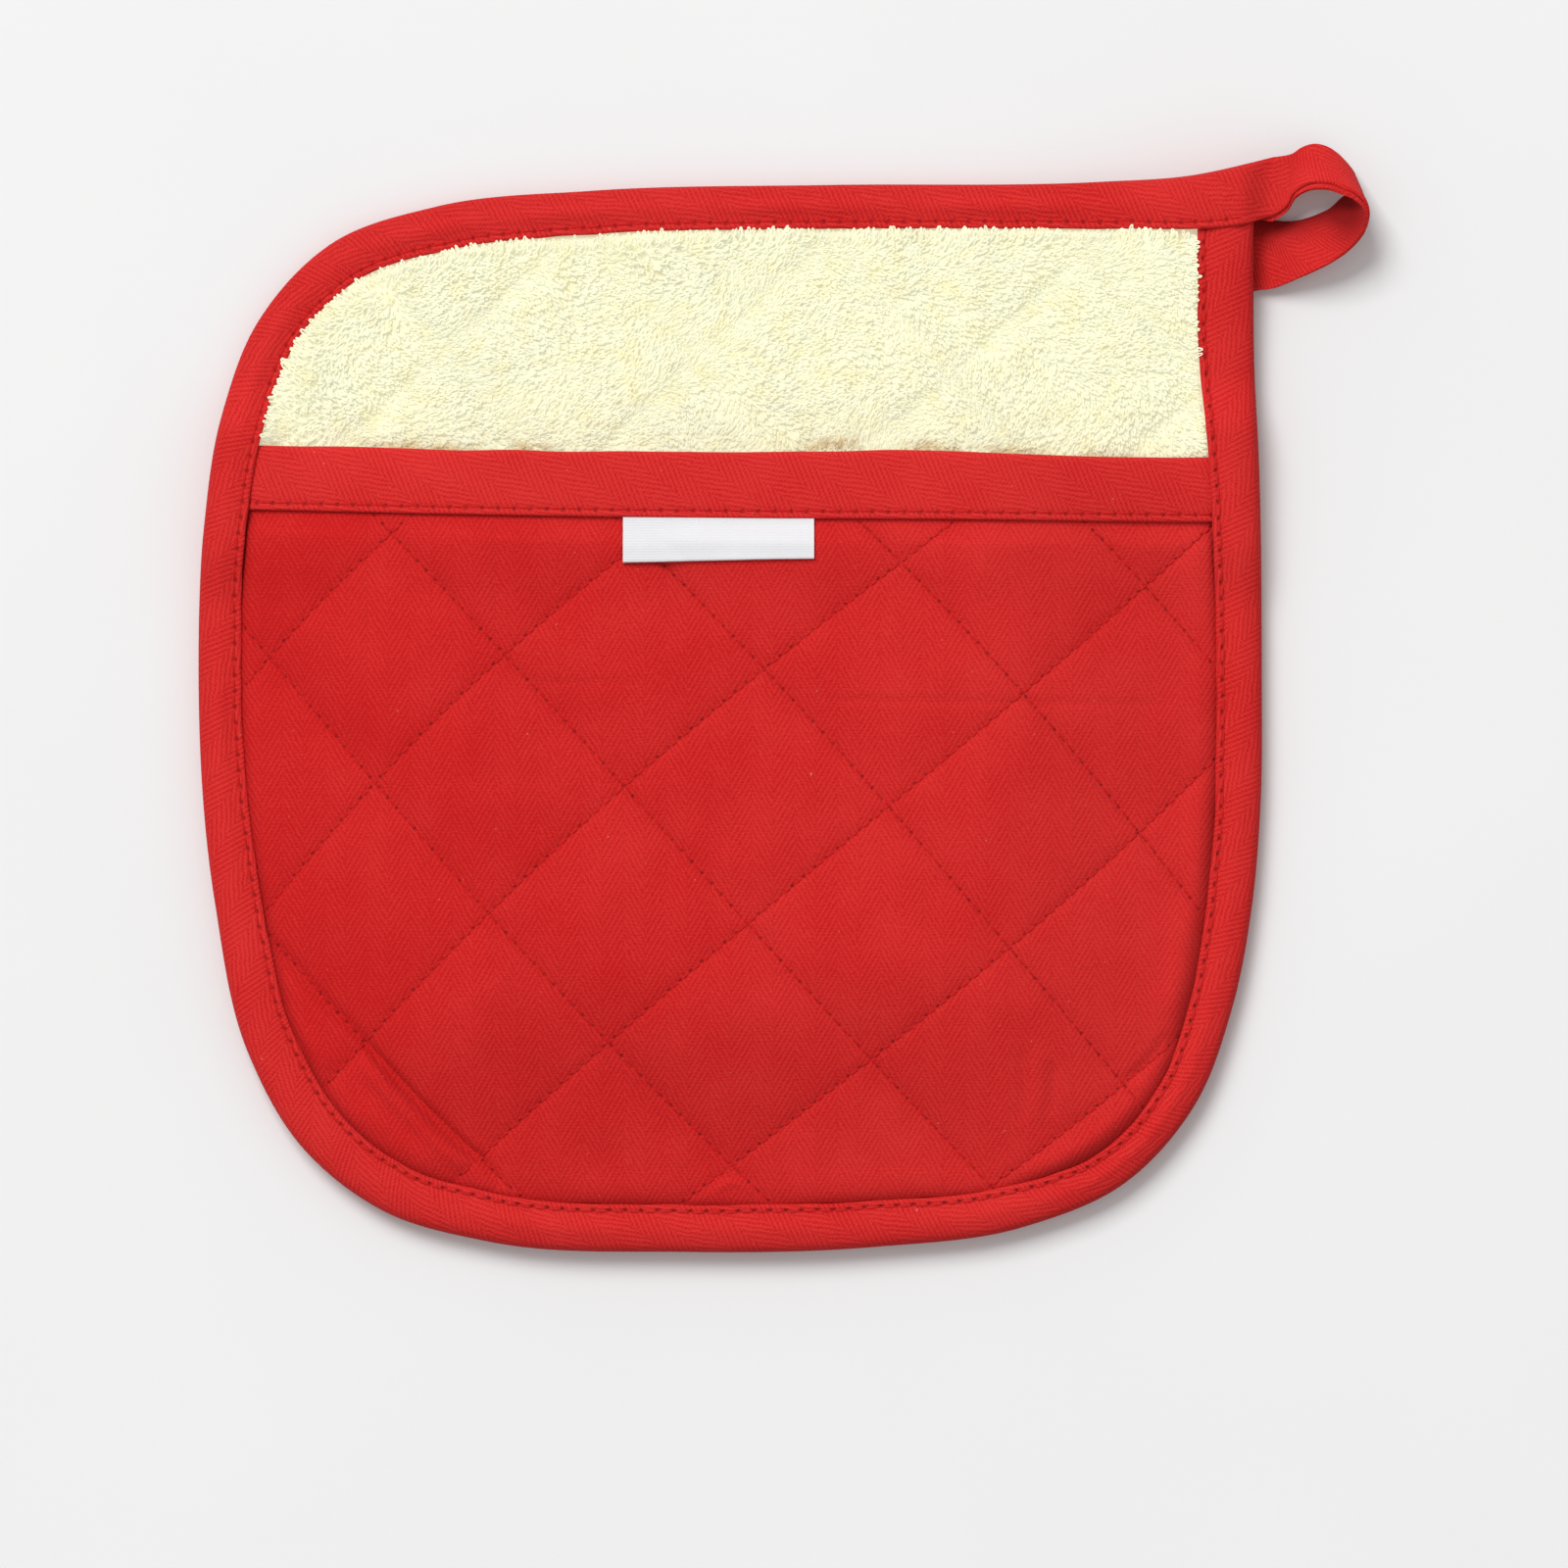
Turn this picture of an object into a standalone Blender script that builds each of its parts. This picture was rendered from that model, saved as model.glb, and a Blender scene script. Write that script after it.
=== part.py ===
"""A pocket pot holder lying on its back, with its hanging loop at the top right corner.

A quilted twill back, a terry lining, a quilted pocket over the lower two thirds whose mouth
gapes a little, a binding round the edge that goes on as the loop, and a small woven label.
X runs to the right and Y up over the face of the pot holder, and Z up from the table.
Lengths are worked out in millimetres, from the middle of the body, and the meshes that they
give are in metres, with the origin under the middle of the whole piece.
"""

import math

import bmesh
import bpy
import numpy as np
from mathutils import Vector
from mathutils.geometry import delaunay_2d_cdt

MM = 0.001
PART_NAME = "pocket_pot_holder"

# Outer edge of the binding, clockwise from the top of the right side to the loop.
# Columns: x, y, and the width of the binding that shows on the front.
EDGE = (
    (106.7, 106.5, 11.6),
    (106.7, 90.0, 11.6),
    (106.9, 72.0, 11.2),
    (107.9, 50.3, 10.2),
    (108.5, 9.5, 9.5),
    (108.2, -19.0, 9.4),
    (106.5, -38.7, 9.3),
    (102.5, -59.3, 8.8),
    (94.7, -79.5, 8.3),
    (80.3, -95.4, 8.2),
    (60.2, -104.1, 8.9),
    (29.1, -108.3, 9.6),
    (-9.5, -109.3, 9.8),
    (-49.9, -107.1, 10.0),
    (-70.8, -101.0, 10.4),
    (-87.7, -87.7, 10.5),
    (-98.5, -68.8, 10.3),
    (-105.3, -38.3, 9.8),
    (-108.7, 10.0, 8.8),
    (-107.5, 39.1, 8.8),
    (-104.3, 60.1, 8.9),
    (-96.5, 80.9, 9.0),
    (-81.3, 96.9, 9.2),
    (-60.1, 104.3, 9.2),
    (-28.7, 107.5, 9.1),
    (20.0, 108.7, 9.0),
    (76.7, 109.3, 9.7),
    (93.5, 110.4, 11.0),
    (107.1, 113.3, 12.8),
    (110.6, 114.2, 13.1),
)

# The pocket's mouth. Columns: x, y of the folded edge, y of the lower edge of its binding.
MOUTH = (
    (-108.0, 55.3, 42.3),
    (-93.0, 55.3, 42.1),
    (-60.0, 54.4, 41.2),
    (0.0, 53.9, 40.3),
    (40.0, 54.1, 40.1),
    (75.0, 53.1, 39.8),
    (95.0, 52.8, 39.7),
    (108.0, 52.8, 39.7),
)

# The hanging loop, from the end of the top binding round to its tail behind the corner.
# Columns: x, y, z of the high edge, then x, y, z of the low edge.
LOOP = (
    (110.9, 101.2, 5.9, 110.9, 114.2, 5.9),
    (113.4, 103.2, 6.5, 114.5, 114.9, 5.3),
    (115.1, 106.1, 7.4, 116.9, 116.3, 4.6),
    (117.7, 107.5, 8.6, 119.2, 116.9, 4.0),
    (121.3, 107.8, 9.8, 122.2, 116.1, 3.4),
    (124.7, 106.9, 11.0, 125.5, 113.1, 2.8),
    (127.3, 105.9, 11.9, 127.0, 110.7, 2.2),
    (129.0, 104.4, 12.2, 127.2, 108.8, 1.9),
    (129.8, 102.6, 12.1, 126.6, 107.0, 1.8),
    (129.5, 99.4, 11.5, 125.4, 105.4, 1.6),
    (128.3, 97.2, 10.6, 123.0, 103.0, 1.5),
    (126.0, 94.8, 9.4, 120.2, 101.8, 1.4),
    (122.4, 92.4, 8.0, 117.0, 100.7, 1.3),
    (116.9, 89.9, 5.4, 113.9, 100.2, 1.1),
    (111.6, 87.8, 2.5, 110.7, 100.2, 1.0),
    (107.6, 87.0, 1.1, 107.2, 99.9, 1.0),
    (103.9, 86.6, 1.0, 103.9, 99.9, 1.0),
)

# The label. Columns: x, and the y of its upper and lower edges.
LABEL = (
    (-21.6, 39.6, 31.3),
    (-8.6, 39.6, 31.5),
    (4.4, 39.7, 31.7),
    (16.9, 39.7, 31.9),
)

# Quilting: square diamonds in stitched lines, one grid on the pocket and one that the back and
# the lining share. Each has one crossing, the lines' spacing, their turn in degrees, and how far
# both families of lines bow, in diamonds per mm squared.
POCKET_QUILT = ((-20.9, -13.5), 36.4, -48.5, (-1.3e-5, 0.7e-5))
BACK_QUILT = ((44.9, 70.3), 36.8, -47.5, (0.0, 0.0))
QUILT_REACH = 6                     # diamonds that are laid out on each side of the crossing
PILLOW_STEEP = 2.4                  # how steeply a diamond rises beside its stitches

# Thicknesses and gaps.
GAP = 0.3
BINDING_WALL = 1.1
MOUTH_WALL = 1.0
RIM_INSET = 1.7                     # from the binding's outer edge to the panels' raw edges
MOUTH_INSET = MOUTH_WALL + 0.6      # from the mouth's folded edge to the pocket's raw edge
BACK_TOP = 2.6
TERRY_RIM = 1.0
TERRY_TOP = 4.5
POCKET_RIM = 1.2
LOOP_THICK = 1.7
LABEL_THICK = 1.0

# Relief. A layer is held flat to a little past a binding, and comes free over a few mm more.
HELD_PAST = 0.4
FREE_OVER = 4.5
PUFF_FREE_OVER = 5.0
SEAM_HELD = 0.6                     # the same below the mouth's binding
BACK_LEG = 9.5                      # width of the binding's hidden side
BACK_CHANNEL = 1.0
BACK_FLAT_FROM = 0.38               # a diamond of the back is flat from this share of its height
TERRY_HELD_PAST = 0.2
TERRY_CHANNEL = 0.7
TERRY_FLAT_FROM = 0.5
PUFF_OVER = 2.2                     # height of a pocket diamond over its stitched lines
PUFF_UNDER = 0.9                    # and how far it bulges into the pocket
PUFF_UNDER_FROM, PUFF_UNDER_WHOLE = 12.0, 28.0    # mm in from the binding, where there is room
TERRY_SWELL = 0.9                   # how much the free lining stands over its held rim
CROWN = 10.0                        # how far the pocket stands off the lining at its highest
CROWN_MOUTH = 0.85                  # share of the crown that is left at the mouth
CROWN_REACH = 50.0                  # distance in from the binding over which the crown rises
CROWN_FALLS = (8.0, 58.0)           # heights on the body between which it falls to the mouth's
MOUTH_RISE = MOUTH_WALL + GAP       # the pocket's edge rides this much higher at its mouth
MOUTH_RISES = (22.0, 36.0)          # and comes up to it between these heights on the body

# What the edge binding holds changes up the sides: pocket, pocket and mouth, terry alone.
ONLY_POCKET_BELOW, MOUTH_ABOVE = 22.0, 36.0
MOUTH_BELOW, ONLY_TERRY_ABOVE = 58.0, 70.0

# The corner by the loop is bulky: the loop's tail is under it, and two strips overlap in it.
TAIL_AT = (106.7, 97.0)
TAIL_LIFT = 2.4
TAIL_FLAT, TAIL_REACH = 18.0, 72.0
TUCK_AT = (106.7, 112.0)
TUCK_RISE = BINDING_WALL + GAP
TUCK_FLAT, TUCK_REACH = 17.0, 36.0
OVERLAP_FROM, OVERLAP_FULL, SQUARE_FULL = 83.0, 93.0, 97.0
LAP_TOP, LAP_LEFT, LAP_LOW = 108.0, 60.0, 90.0    # the strip's second end, which laps the first
LOOP_LEAVES = (105.2, 108.0)        # right of and above this, the outline is the loop's
BODY_CORNER = (106.7, 113.0, 12.4)  # the body's own corner there, and its binding's width
POCKET_EDGE_TOP = 76.0              # the pocket only feels the outline below this
PINCH_FROM, PINCH_TO = 107.2, 109.8
PINCH_THICK = 2.5

# Stations of the lofts and lines of the panels' meshes.
EDGE_STEP = 7.5
EDGE_END_STEPS = (13.0, 10.0, 7.5, 5.5, 4.2, 3.4, 2.6, 1.8, 1.0)
MOUTH_STEP = 5.5
LOOP_STEP = 2.6
LABEL_STEP = 3.2
RIM_STEP = 7.0
FINE_STEP = 1.5                     # of the outline that distances are taken from
MOUTH_ENDS = ((-103.2, -100.6, -98.3, -96.0), (94.6, 97.4, 100.4, 103.6))
MOUTH_EVEN = 91.0                   # the stations between them go from minus this to this
LONGEST_KEPT = 14.0                 # a longer leg of a row of points is a gap in it
POINT_CLEAR = 2.6                   # from a loose point to an outline or a row
SEAM_CLEAR = 1.5                    # and up to the mouth's binding
SIDE_BELOW_MOUTH = 4.5              # where the pocket's sides end under its folded edge
RING_SLACK = 0.12                   # an inset point that is nearer than this is past a corner
POCKET_LINES = (0.0, 0.08, 0.27, 0.5, 0.73, 0.92)
BACK_LINES = (0.0, 0.1, 0.35, 0.65, 0.9)
TERRY_LINES = (0.0, 0.13, 0.5, 0.87)

RED_TWILL = (0.60, 0.022, 0.020, 1.0)
RED_BINDING = (0.66, 0.028, 0.024, 1.0)
CREAM_TERRY = (0.88, 0.86, 0.62, 1.0)
WHITE_LABEL = (0.87, 0.86, 0.87, 1.0)


# ---- Curves and distances ----

def smooth(t):
    """0 below 0, 1 above 1, and an easy curve between them."""
    t = np.clip(t, 0.0, 1.0)
    return t * t * (3.0 - 2.0 * t)


def between(value, start, end):
    """0 before the start, 1 past the end, and an easy curve between them."""
    return smooth((value - start) / (end - start))


def smooth_path(rows, step, last_steps=()):
    """Points on a smooth curve through the rows, `step` apart, with every column carried along.

    last_steps are distances from the end where further points lie, in place of even ones.
    """
    rows = np.array(rows, float)
    length = np.concatenate([[0.0], np.cumsum(np.linalg.norm(np.diff(rows, axis=0), axis=1))])
    slope = np.gradient(rows, length, axis=0)
    total = length[-1]
    if last_steps:
        even_end = total - last_steps[0] - 0.5 * step
        at = np.linspace(0.0, even_end, round(even_end / step) + 1)
        at = np.concatenate([at, total - np.array(last_steps), [total]])
    else:
        at = np.linspace(0.0, total, round(total / step) + 1)
    k = np.clip(np.searchsorted(length, at, side="right") - 1, 0, len(rows) - 2)
    span = (length[k + 1] - length[k])[:, None]
    f = (at - length[k])[:, None] / span
    near = rows[k] * (1 + 2 * f) * (1 - f) ** 2 + slope[k] * span * f * (1 - f) ** 2
    far = rows[k + 1] * f * f * (3 - 2 * f) + slope[k + 1] * span * f * f * (f - 1)
    return near + far


def inward(points):
    """Unit normals of a clockwise path, in the plane and to the inside."""
    along = np.gradient(points[:, :2], axis=0)
    along /= np.linalg.norm(along, axis=1)[:, None]
    return np.stack([along[:, 1], -along[:, 0]], axis=1)


def body_ring(step):
    """The body's outer edge as a closed ring of x, y and band width, without the loop's end."""
    path = smooth_path(EDGE, step)
    on_body = ~((path[:, 0] > LOOP_LEAVES[0]) & (path[:, 1] > LOOP_LEAVES[1]))
    return np.vstack([[BODY_CORNER], path[on_body]])


BODY_EDGE = np.vstack([body_ring(FINE_STEP), [BODY_CORNER]])
POCKET_EDGE = BODY_EDGE[BODY_EDGE[:, 1] < POCKET_EDGE_TOP]


def edge_distance(x, y, edge=BODY_EDGE):
    """Distance in from an outer edge, and the binding's width beside each point."""
    starts, ends = edge[:-1], edge[1:]
    leg = ends[:, :2] - starts[:, :2]
    px = x[:, None] - starts[:, 0]
    py = y[:, None] - starts[:, 1]
    f = np.clip((px * leg[:, 0] + py * leg[:, 1]) / np.sum(leg * leg, axis=1), 0.0, 1.0)
    away = np.hypot(px - f * leg[:, 0], py - f * leg[:, 1])
    nearest = np.argmin(away, axis=1)
    row = np.arange(len(x))
    share = f[row, nearest]
    return away[row, nearest], starts[nearest, 2] * (1 - share) + ends[nearest, 2] * share


def is_inside(points, ring):
    """Which points lie inside a closed ring."""
    a, b = ring[:, :2], np.roll(ring[:, :2], -1, axis=0)
    x, y = points[:, 0:1], points[:, 1:2]
    spans = (a[:, 1] > y) != (b[:, 1] > y)
    rise = np.where(np.abs(b[:, 1] - a[:, 1]) < 1e-9, 1e-9, b[:, 1] - a[:, 1])
    crossing = a[:, 0] + (y - a[:, 1]) * (b[:, 0] - a[:, 0]) / rise
    return np.sum(spans & (x < crossing), axis=1) % 2 == 1


def mouth_lines(x):
    """The y of the pocket's folded edge and of its binding's lower edge, over x."""
    curve = smooth_path(MOUTH, 2.0)
    return np.interp(x, curve[:, 0], curve[:, 1]), np.interp(x, curve[:, 0], curve[:, 2])


# ---- Quilting ----

def quilt_place(x, y, quilt):
    """Where points lie among the stitched lines, which are at whole numbers of a and of b."""
    crossing, pitch, turn, bow = quilt
    dx, dy = x - crossing[0], y - crossing[1]
    cos, sin = math.cos(math.radians(turn)), math.sin(math.radians(turn))
    a = (dx * cos + dy * sin) / pitch + bow[0] * x * x
    b = (-dx * sin + dy * cos) / pitch + bow[1] * x * x
    return a, b


def quilt_points(lines, quilt):
    """Mesh points that lie along and between the stitched lines, over the whole body."""
    crossing, pitch, turn, _ = quilt
    counts = (np.arange(-QUILT_REACH, QUILT_REACH + 1)[:, None] + np.array(lines)).ravel()
    want_a, want_b = (g.ravel() for g in np.meshgrid(counts, counts))
    cos, sin = math.cos(math.radians(turn)), math.sin(math.radians(turn))
    x = crossing[0] + (want_a * cos - want_b * sin) * pitch
    y = crossing[1] + (want_a * sin + want_b * cos) * pitch
    for _ in range(6):
        a, b = quilt_place(x, y, quilt)
        x = x + ((want_a - a) * cos - (want_b - b) * sin) * pitch
        y = y + ((want_a - a) * sin + (want_b - b) * cos) * pitch
    return np.stack([x, y], axis=1)


def pillow(x, y, quilt):
    """0 on a stitched line and 1 in the middle of a diamond, steep beside the stitches."""
    share = 1.0
    for place in quilt_place(x, y, quilt):
        off_line = np.abs(place - np.round(place)) * 2.0
        share = share * (1.0 - (1.0 - off_line) ** PILLOW_STEEP)
    return share


# ---- Heights of the layers ----

def lift(x, y):
    """How far the corner is held up by the loop's tail."""
    away = np.hypot(x - TAIL_AT[0], y - TAIL_AT[1])
    return TAIL_LIFT * smooth((TAIL_REACH - away) / (TAIL_REACH - TAIL_FLAT))


def tuck(x, y):
    """How much higher the layers lie where the top strip is folded round the right one."""
    away = np.hypot(x - TUCK_AT[0], y - TUCK_AT[1])
    return TUCK_RISE * smooth((TUCK_REACH - away) / (TUCK_REACH - TUCK_FLAT))


def back_under(x, y):
    away, _ = edge_distance(x, y)
    foot = BINDING_WALL + GAP
    held = 1.0 - smooth((away - BACK_LEG - HELD_PAST) / FREE_OVER)
    plump = smooth(pillow(x, y, BACK_QUILT) / BACK_FLAT_FROM)
    low = np.maximum(foot * held, BACK_CHANNEL * (1.0 - plump))
    return lift(x, y) + tuck(x, y) + low


def back_over(x, y):
    return lift(x, y) + tuck(x, y) + BACK_TOP


def terry_under(x, y):
    return lift(x, y) + tuck(x, y) + BACK_TOP + GAP


def terry_over(x, y):
    away, band = edge_distance(x, y)
    free = smooth((away - band - TERRY_HELD_PAST) / PUFF_FREE_OVER)
    rim = BACK_TOP + GAP + TERRY_RIM
    plump = smooth(pillow(x, y, BACK_QUILT) / TERRY_FLAT_FROM)
    return lift(x, y) + tuck(x, y) + rim + free * (TERRY_TOP - rim - TERRY_CHANNEL * (1.0 - plump))


def pocket_middle(x, y):
    """Middle of the pocket's thickness where it isn't puffed."""
    away, band = edge_distance(x, y, POCKET_EDGE)
    free = away - band - HELD_PAST
    rim = BACK_TOP + GAP + TERRY_RIM + GAP + 0.5 * POCKET_RIM
    crown = CROWN * (1.0 - (1.0 - CROWN_MOUTH) * between(y, *CROWN_FALLS))
    rise = crown * smooth(free / CROWN_REACH) + TERRY_SWELL * smooth(free / FREE_OVER)
    return lift(x, y) + rim + MOUTH_RISE * between(y, *MOUTH_RISES) + rise


def pocket_puff(x, y):
    """Share of the puffed height that the pocket has, nothing where a binding holds it flat."""
    away, band = edge_distance(x, y, POCKET_EDGE)
    _, seam = mouth_lines(x)
    free = smooth((away - band - HELD_PAST) / PUFF_FREE_OVER)
    below = smooth((seam - SEAM_HELD - y) / PUFF_FREE_OVER)
    return free * below * pillow(x, y, POCKET_QUILT)


def pocket_over(x, y):
    return pocket_middle(x, y) + 0.5 * POCKET_RIM + PUFF_OVER * pocket_puff(x, y)


def pocket_under(x, y):
    away, band = edge_distance(x, y, POCKET_EDGE)
    room = between(away - band, PUFF_UNDER_FROM, PUFF_UNDER_WHOLE)
    return pocket_middle(x, y) - 0.5 * POCKET_RIM - PUFF_UNDER * room * pocket_puff(x, y)


def held_top(y):
    """Top of what the edge binding holds, over the table: terry, pocket, or pocket and mouth."""
    terry = BACK_TOP + GAP + TERRY_RIM
    pocket = GAP + POCKET_RIM
    mouth = 2.0 * (MOUTH_WALL + GAP)
    below_terry = 1.0 - between(y, MOUTH_BELOW, ONLY_TERRY_ABOVE)
    below_mouth = 1.0 - between(y, ONLY_POCKET_BELOW, MOUTH_ABOVE)
    return terry + (pocket + mouth) * below_terry - mouth * below_mouth


# ---- Meshes and materials ----

def cloth_material(name, colour, roughness):
    material = bpy.data.materials.new(name)
    material.use_nodes = True
    shader = material.node_tree.nodes["Principled BSDF"]
    shader.inputs["Base Color"].default_value = colour
    shader.inputs["Roughness"].default_value = roughness
    shader.inputs["Metallic"].default_value = 0.0
    material.diffuse_color = colour
    return material


def new_piece(name, points_mm, faces, material, collection):
    """A mesh object in metres, with its faces turned outwards."""
    mesh = bpy.data.meshes.new(name)
    mesh.from_pydata((np.asarray(points_mm) * MM).tolist(), [], faces)
    work = bmesh.new()
    work.from_mesh(mesh)
    bmesh.ops.recalc_face_normals(work, faces=work.faces[:])
    bmesh.ops.triangulate(work, faces=work.faces[:])
    work.to_mesh(mesh)
    work.free()
    mesh.materials.append(material)
    mesh.shade_smooth()
    mesh.set_sharp_from_angle(angle=math.radians(40.0))
    piece = bpy.data.objects.new(name, mesh)
    collection.objects.link(piece)
    return piece


def layer(name, outline, lines, inner, under, over, material, collection):
    """A closed sheet: an outline filled with triangles, between two height functions.

    lines are rows of points whose edges the triangles keep, and inner are loose points.
    """
    points = np.vstack([outline] + lines + [inner])
    kept_edges = []
    first = len(outline)
    for line in lines:
        steps = np.linalg.norm(np.diff(line, axis=0), axis=1)
        kept_edges += [(first + i, first + i + 1) for i in range(len(steps)) if steps[i] < LONGEST_KEPT]
        first += len(line)
    flat, _, triangles, *_ = delaunay_2d_cdt(
        [Vector(p) for p in points], kept_edges, [list(range(len(outline)))], 1, 1e-3)
    flat = np.array([(p.x, p.y) for p in flat])
    x, y = flat[:, 0], flat[:, 1]
    count = len(flat)
    low = np.column_stack([x, y, under(x, y)])
    high = np.column_stack([x, y, over(x, y)])
    sides = {}
    for corners in triangles:
        for i, j in zip(corners, corners[1:] + corners[:1]):
            if (j, i) in sides:
                del sides[(j, i)]
            else:
                sides[(i, j)] = (j + count, i + count, i, j)
    faces = [tuple(c + count for c in corners) for corners in triangles]
    faces += [tuple(reversed(corners)) for corners in triangles]
    faces += list(sides.values())
    return new_piece(name, np.vstack([low, high]), faces, material, collection)


def loft(name, sections, material, collection):
    """A closed body through sections of the same number of points, capped at both ends."""
    sections = np.asarray(sections)
    stations, around = sections.shape[:2]
    faces = []
    for s in range(stations - 1):
        for i in range(around):
            j = (i + 1) % around
            here, there = s * around, (s + 1) * around
            faces.append((here + i, here + j, there + j, there + i))
    faces.append(tuple(range(around)))
    faces.append(tuple(reversed(range((stations - 1) * around, stations * around))))
    return new_piece(name, sections.reshape(-1, 3), faces, material, collection)


def loose_points(lines, quilt, ring, clear_of):
    """Quilting points inside a ring, clear of its edge and of the rows in clear_of."""
    points = quilt_points(lines, quilt)
    points = points[is_inside(points, ring)]
    for row in [ring[:, :2]] + clear_of:
        gaps = np.linalg.norm(points[:, None, :] - row[None, :, :], axis=2).min(axis=1)
        points = points[gaps > POINT_CLEAR]
    return points


def inset_ring(inset, follow_band=False):
    """A ring inside the outer edge, by a fixed inset or by that much past the binding."""
    ring = body_ring(RIM_STEP)
    reach = inset + ring[:, 2:3] * follow_band
    inside = ring[:, :2] + inward_closed(ring) * reach
    away, band = edge_distance(inside[:, 0], inside[:, 1])
    return inside[away > inset + band * follow_band - RING_SLACK]


def inward_closed(ring):
    """Inward unit normals of a closed clockwise ring, mitred at its one sharp corner."""
    before = ring[:, :2] - np.roll(ring[:, :2], 1, axis=0)
    after = np.roll(ring[:, :2], -1, axis=0) - ring[:, :2]
    normals = []
    for leg in (before, after):
        leg = leg / np.linalg.norm(leg, axis=1)[:, None]
        normals.append(np.stack([leg[:, 1], -leg[:, 0]], axis=1))
    total = normals[0] + normals[1]
    return total * 2.0 / np.sum(total * total, axis=1)[:, None]


# ---- The pieces ----

def make_back_panel(material, collection):
    outline = inset_ring(RIM_INSET)
    hold = inset_ring(BACK_LEG + HELD_PAST)
    free = inset_ring(BACK_LEG + HELD_PAST + FREE_OVER)
    inner = loose_points(BACK_LINES, BACK_QUILT, outline, [hold, free])
    return layer("back_panel", outline, [hold, free], inner,
                 back_under, back_over, material, collection)


def make_terry_lining(material, collection):
    outline = inset_ring(RIM_INSET)
    hold = inset_ring(TERRY_HELD_PAST, follow_band=True)
    inner = loose_points(TERRY_LINES, BACK_QUILT, outline, [hold])
    return layer("terry_lining", outline, [hold], inner,
                 terry_under, terry_over, material, collection)


def pocket_stations():
    """The x of the stations that the mouth's binding shares with the pocket under it."""
    return np.concatenate([MOUTH_ENDS[0], np.arange(-MOUTH_EVEN, MOUTH_EVEN, MOUTH_STEP), MOUTH_ENDS[1]])


def make_pocket_panel(material, collection):
    ring = inset_ring(RIM_INSET)
    x = pocket_stations()
    mouth, seam = mouth_lines(x)
    top = np.column_stack([x, mouth - MOUTH_INSET])
    below = ring[ring[:, 1] < mouth_lines(ring[:, 0])[0] - SIDE_BELOW_MOUTH]
    outline = np.vstack([top, below])
    hold = np.column_stack([x, seam - SEAM_HELD])[1:-1]
    free = np.column_stack([x, seam - SEAM_HELD - PUFF_FREE_OVER])[2:-2]
    rim_hold = inset_ring(HELD_PAST, follow_band=True)
    rim_free = inset_ring(HELD_PAST + PUFF_FREE_OVER, follow_band=True)
    rim_hold = rim_hold[rim_hold[:, 1] < free[:, 1].min() - POINT_CLEAR]
    rim_free = rim_free[rim_free[:, 1] < free[:, 1].min() - 2.0 * POINT_CLEAR]
    lines = [hold, free, rim_hold, rim_free]
    inner = loose_points(POCKET_LINES, POCKET_QUILT, outline, lines)
    inner = inner[inner[:, 1] < mouth_lines(inner[:, 0])[1] - SEAM_CLEAR]
    return layer("pocket_panel", outline, lines, inner,
                 pocket_under, pocket_over, material, collection)


def make_pocket_binding(material, collection):
    """A strip folded over the pocket's mouth, its legs a gap away from the cloth."""
    x = pocket_stations()
    mouth, seam = mouth_lines(x)
    inner = 0.5 * POCKET_RIM + GAP
    outer = inner + MOUTH_WALL
    profile = [
        (seam, outer - 0.3),
        (seam + 0.5, outer),
        (0.5 * (seam + mouth), outer + 0.15),
        (mouth - 1.5, outer),
        (mouth - 0.3, 0.55 * outer),
        (mouth, 0.0 * outer),
        (mouth - 0.3, -0.55 * outer),
        (mouth - 1.5, -outer),
        (seam + 1.0, -outer),
        (seam + 1.0, -inner),
        (mouth - MOUTH_WALL - 0.2, -inner),
        (mouth - MOUTH_WALL - 0.2, inner),
        (seam, inner),
    ]
    sections = np.zeros((len(x), len(profile), 3))
    for i, (y, off) in enumerate(profile):
        sections[:, i, 0] = x
        sections[:, i, 1] = y
        sections[:, i, 2] = pocket_middle(x, y) + off
    return loft("pocket_binding", sections, material, collection)


def make_edge_binding(material, collection):
    """A strip folded over the body's edge, open at the top right corner, where it laps itself."""
    path = smooth_path(EDGE, EDGE_STEP, EDGE_END_STEPS)
    normals = inward(path)
    x, y, band = path.T
    laps_over = (y > LAP_TOP) | ((x < LAP_LEFT) & (y > LAP_LOW))
    square = (laps_over * between(x, OVERLAP_FROM, SQUARE_FULL))[:, None]
    normals = normals * (1.0 - square) + np.array([0.0, -1.0]) * square
    low = lift(x, y) + np.where(laps_over, 0.0, tuck(x, y))
    overlap = (BINDING_WALL + GAP) * between(x, OVERLAP_FROM, OVERLAP_FULL)
    held = lift(x, y) + tuck(x, y) + held_top(y) + np.where(laps_over, overlap, 0.0)
    high = held + GAP + BINDING_WALL
    pinch = between(x, PINCH_FROM, PINCH_TO) * laps_over
    middle = 0.5 * (low + high)
    low = low + pinch * (middle - 0.5 * PINCH_THICK - low)
    high = high + pinch * (middle + 0.5 * PINCH_THICK - high)
    middle = 0.5 * (low + high)
    leg = np.minimum(band, BACK_LEG)
    inner = BINDING_WALL + 0.2
    profile = [
        (band, high - 0.35),
        (band - 0.6, high),
        (0.5 * band, high + 0.2),
        (0 * band + 2.0, high),
        (0 * band + 0.5, high - 0.9),
        (0 * band, middle),
        (0 * band + 0.5, low + 0.9),
        (0 * band + 2.0, low),
        (leg, low),
        (leg, low + BINDING_WALL),
        (0 * band + inner, low + BINDING_WALL),
        (0 * band + inner, high - BINDING_WALL),
        (band, high - BINDING_WALL),
    ]
    sections = np.zeros((len(path), len(profile), 3))
    for i, (inset, z) in enumerate(profile):
        sections[:, i, :2] = path[:, :2] + normals * inset[:, None]
        sections[:, i, 2] = z
    return loft("edge_binding", sections, material, collection)


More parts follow.
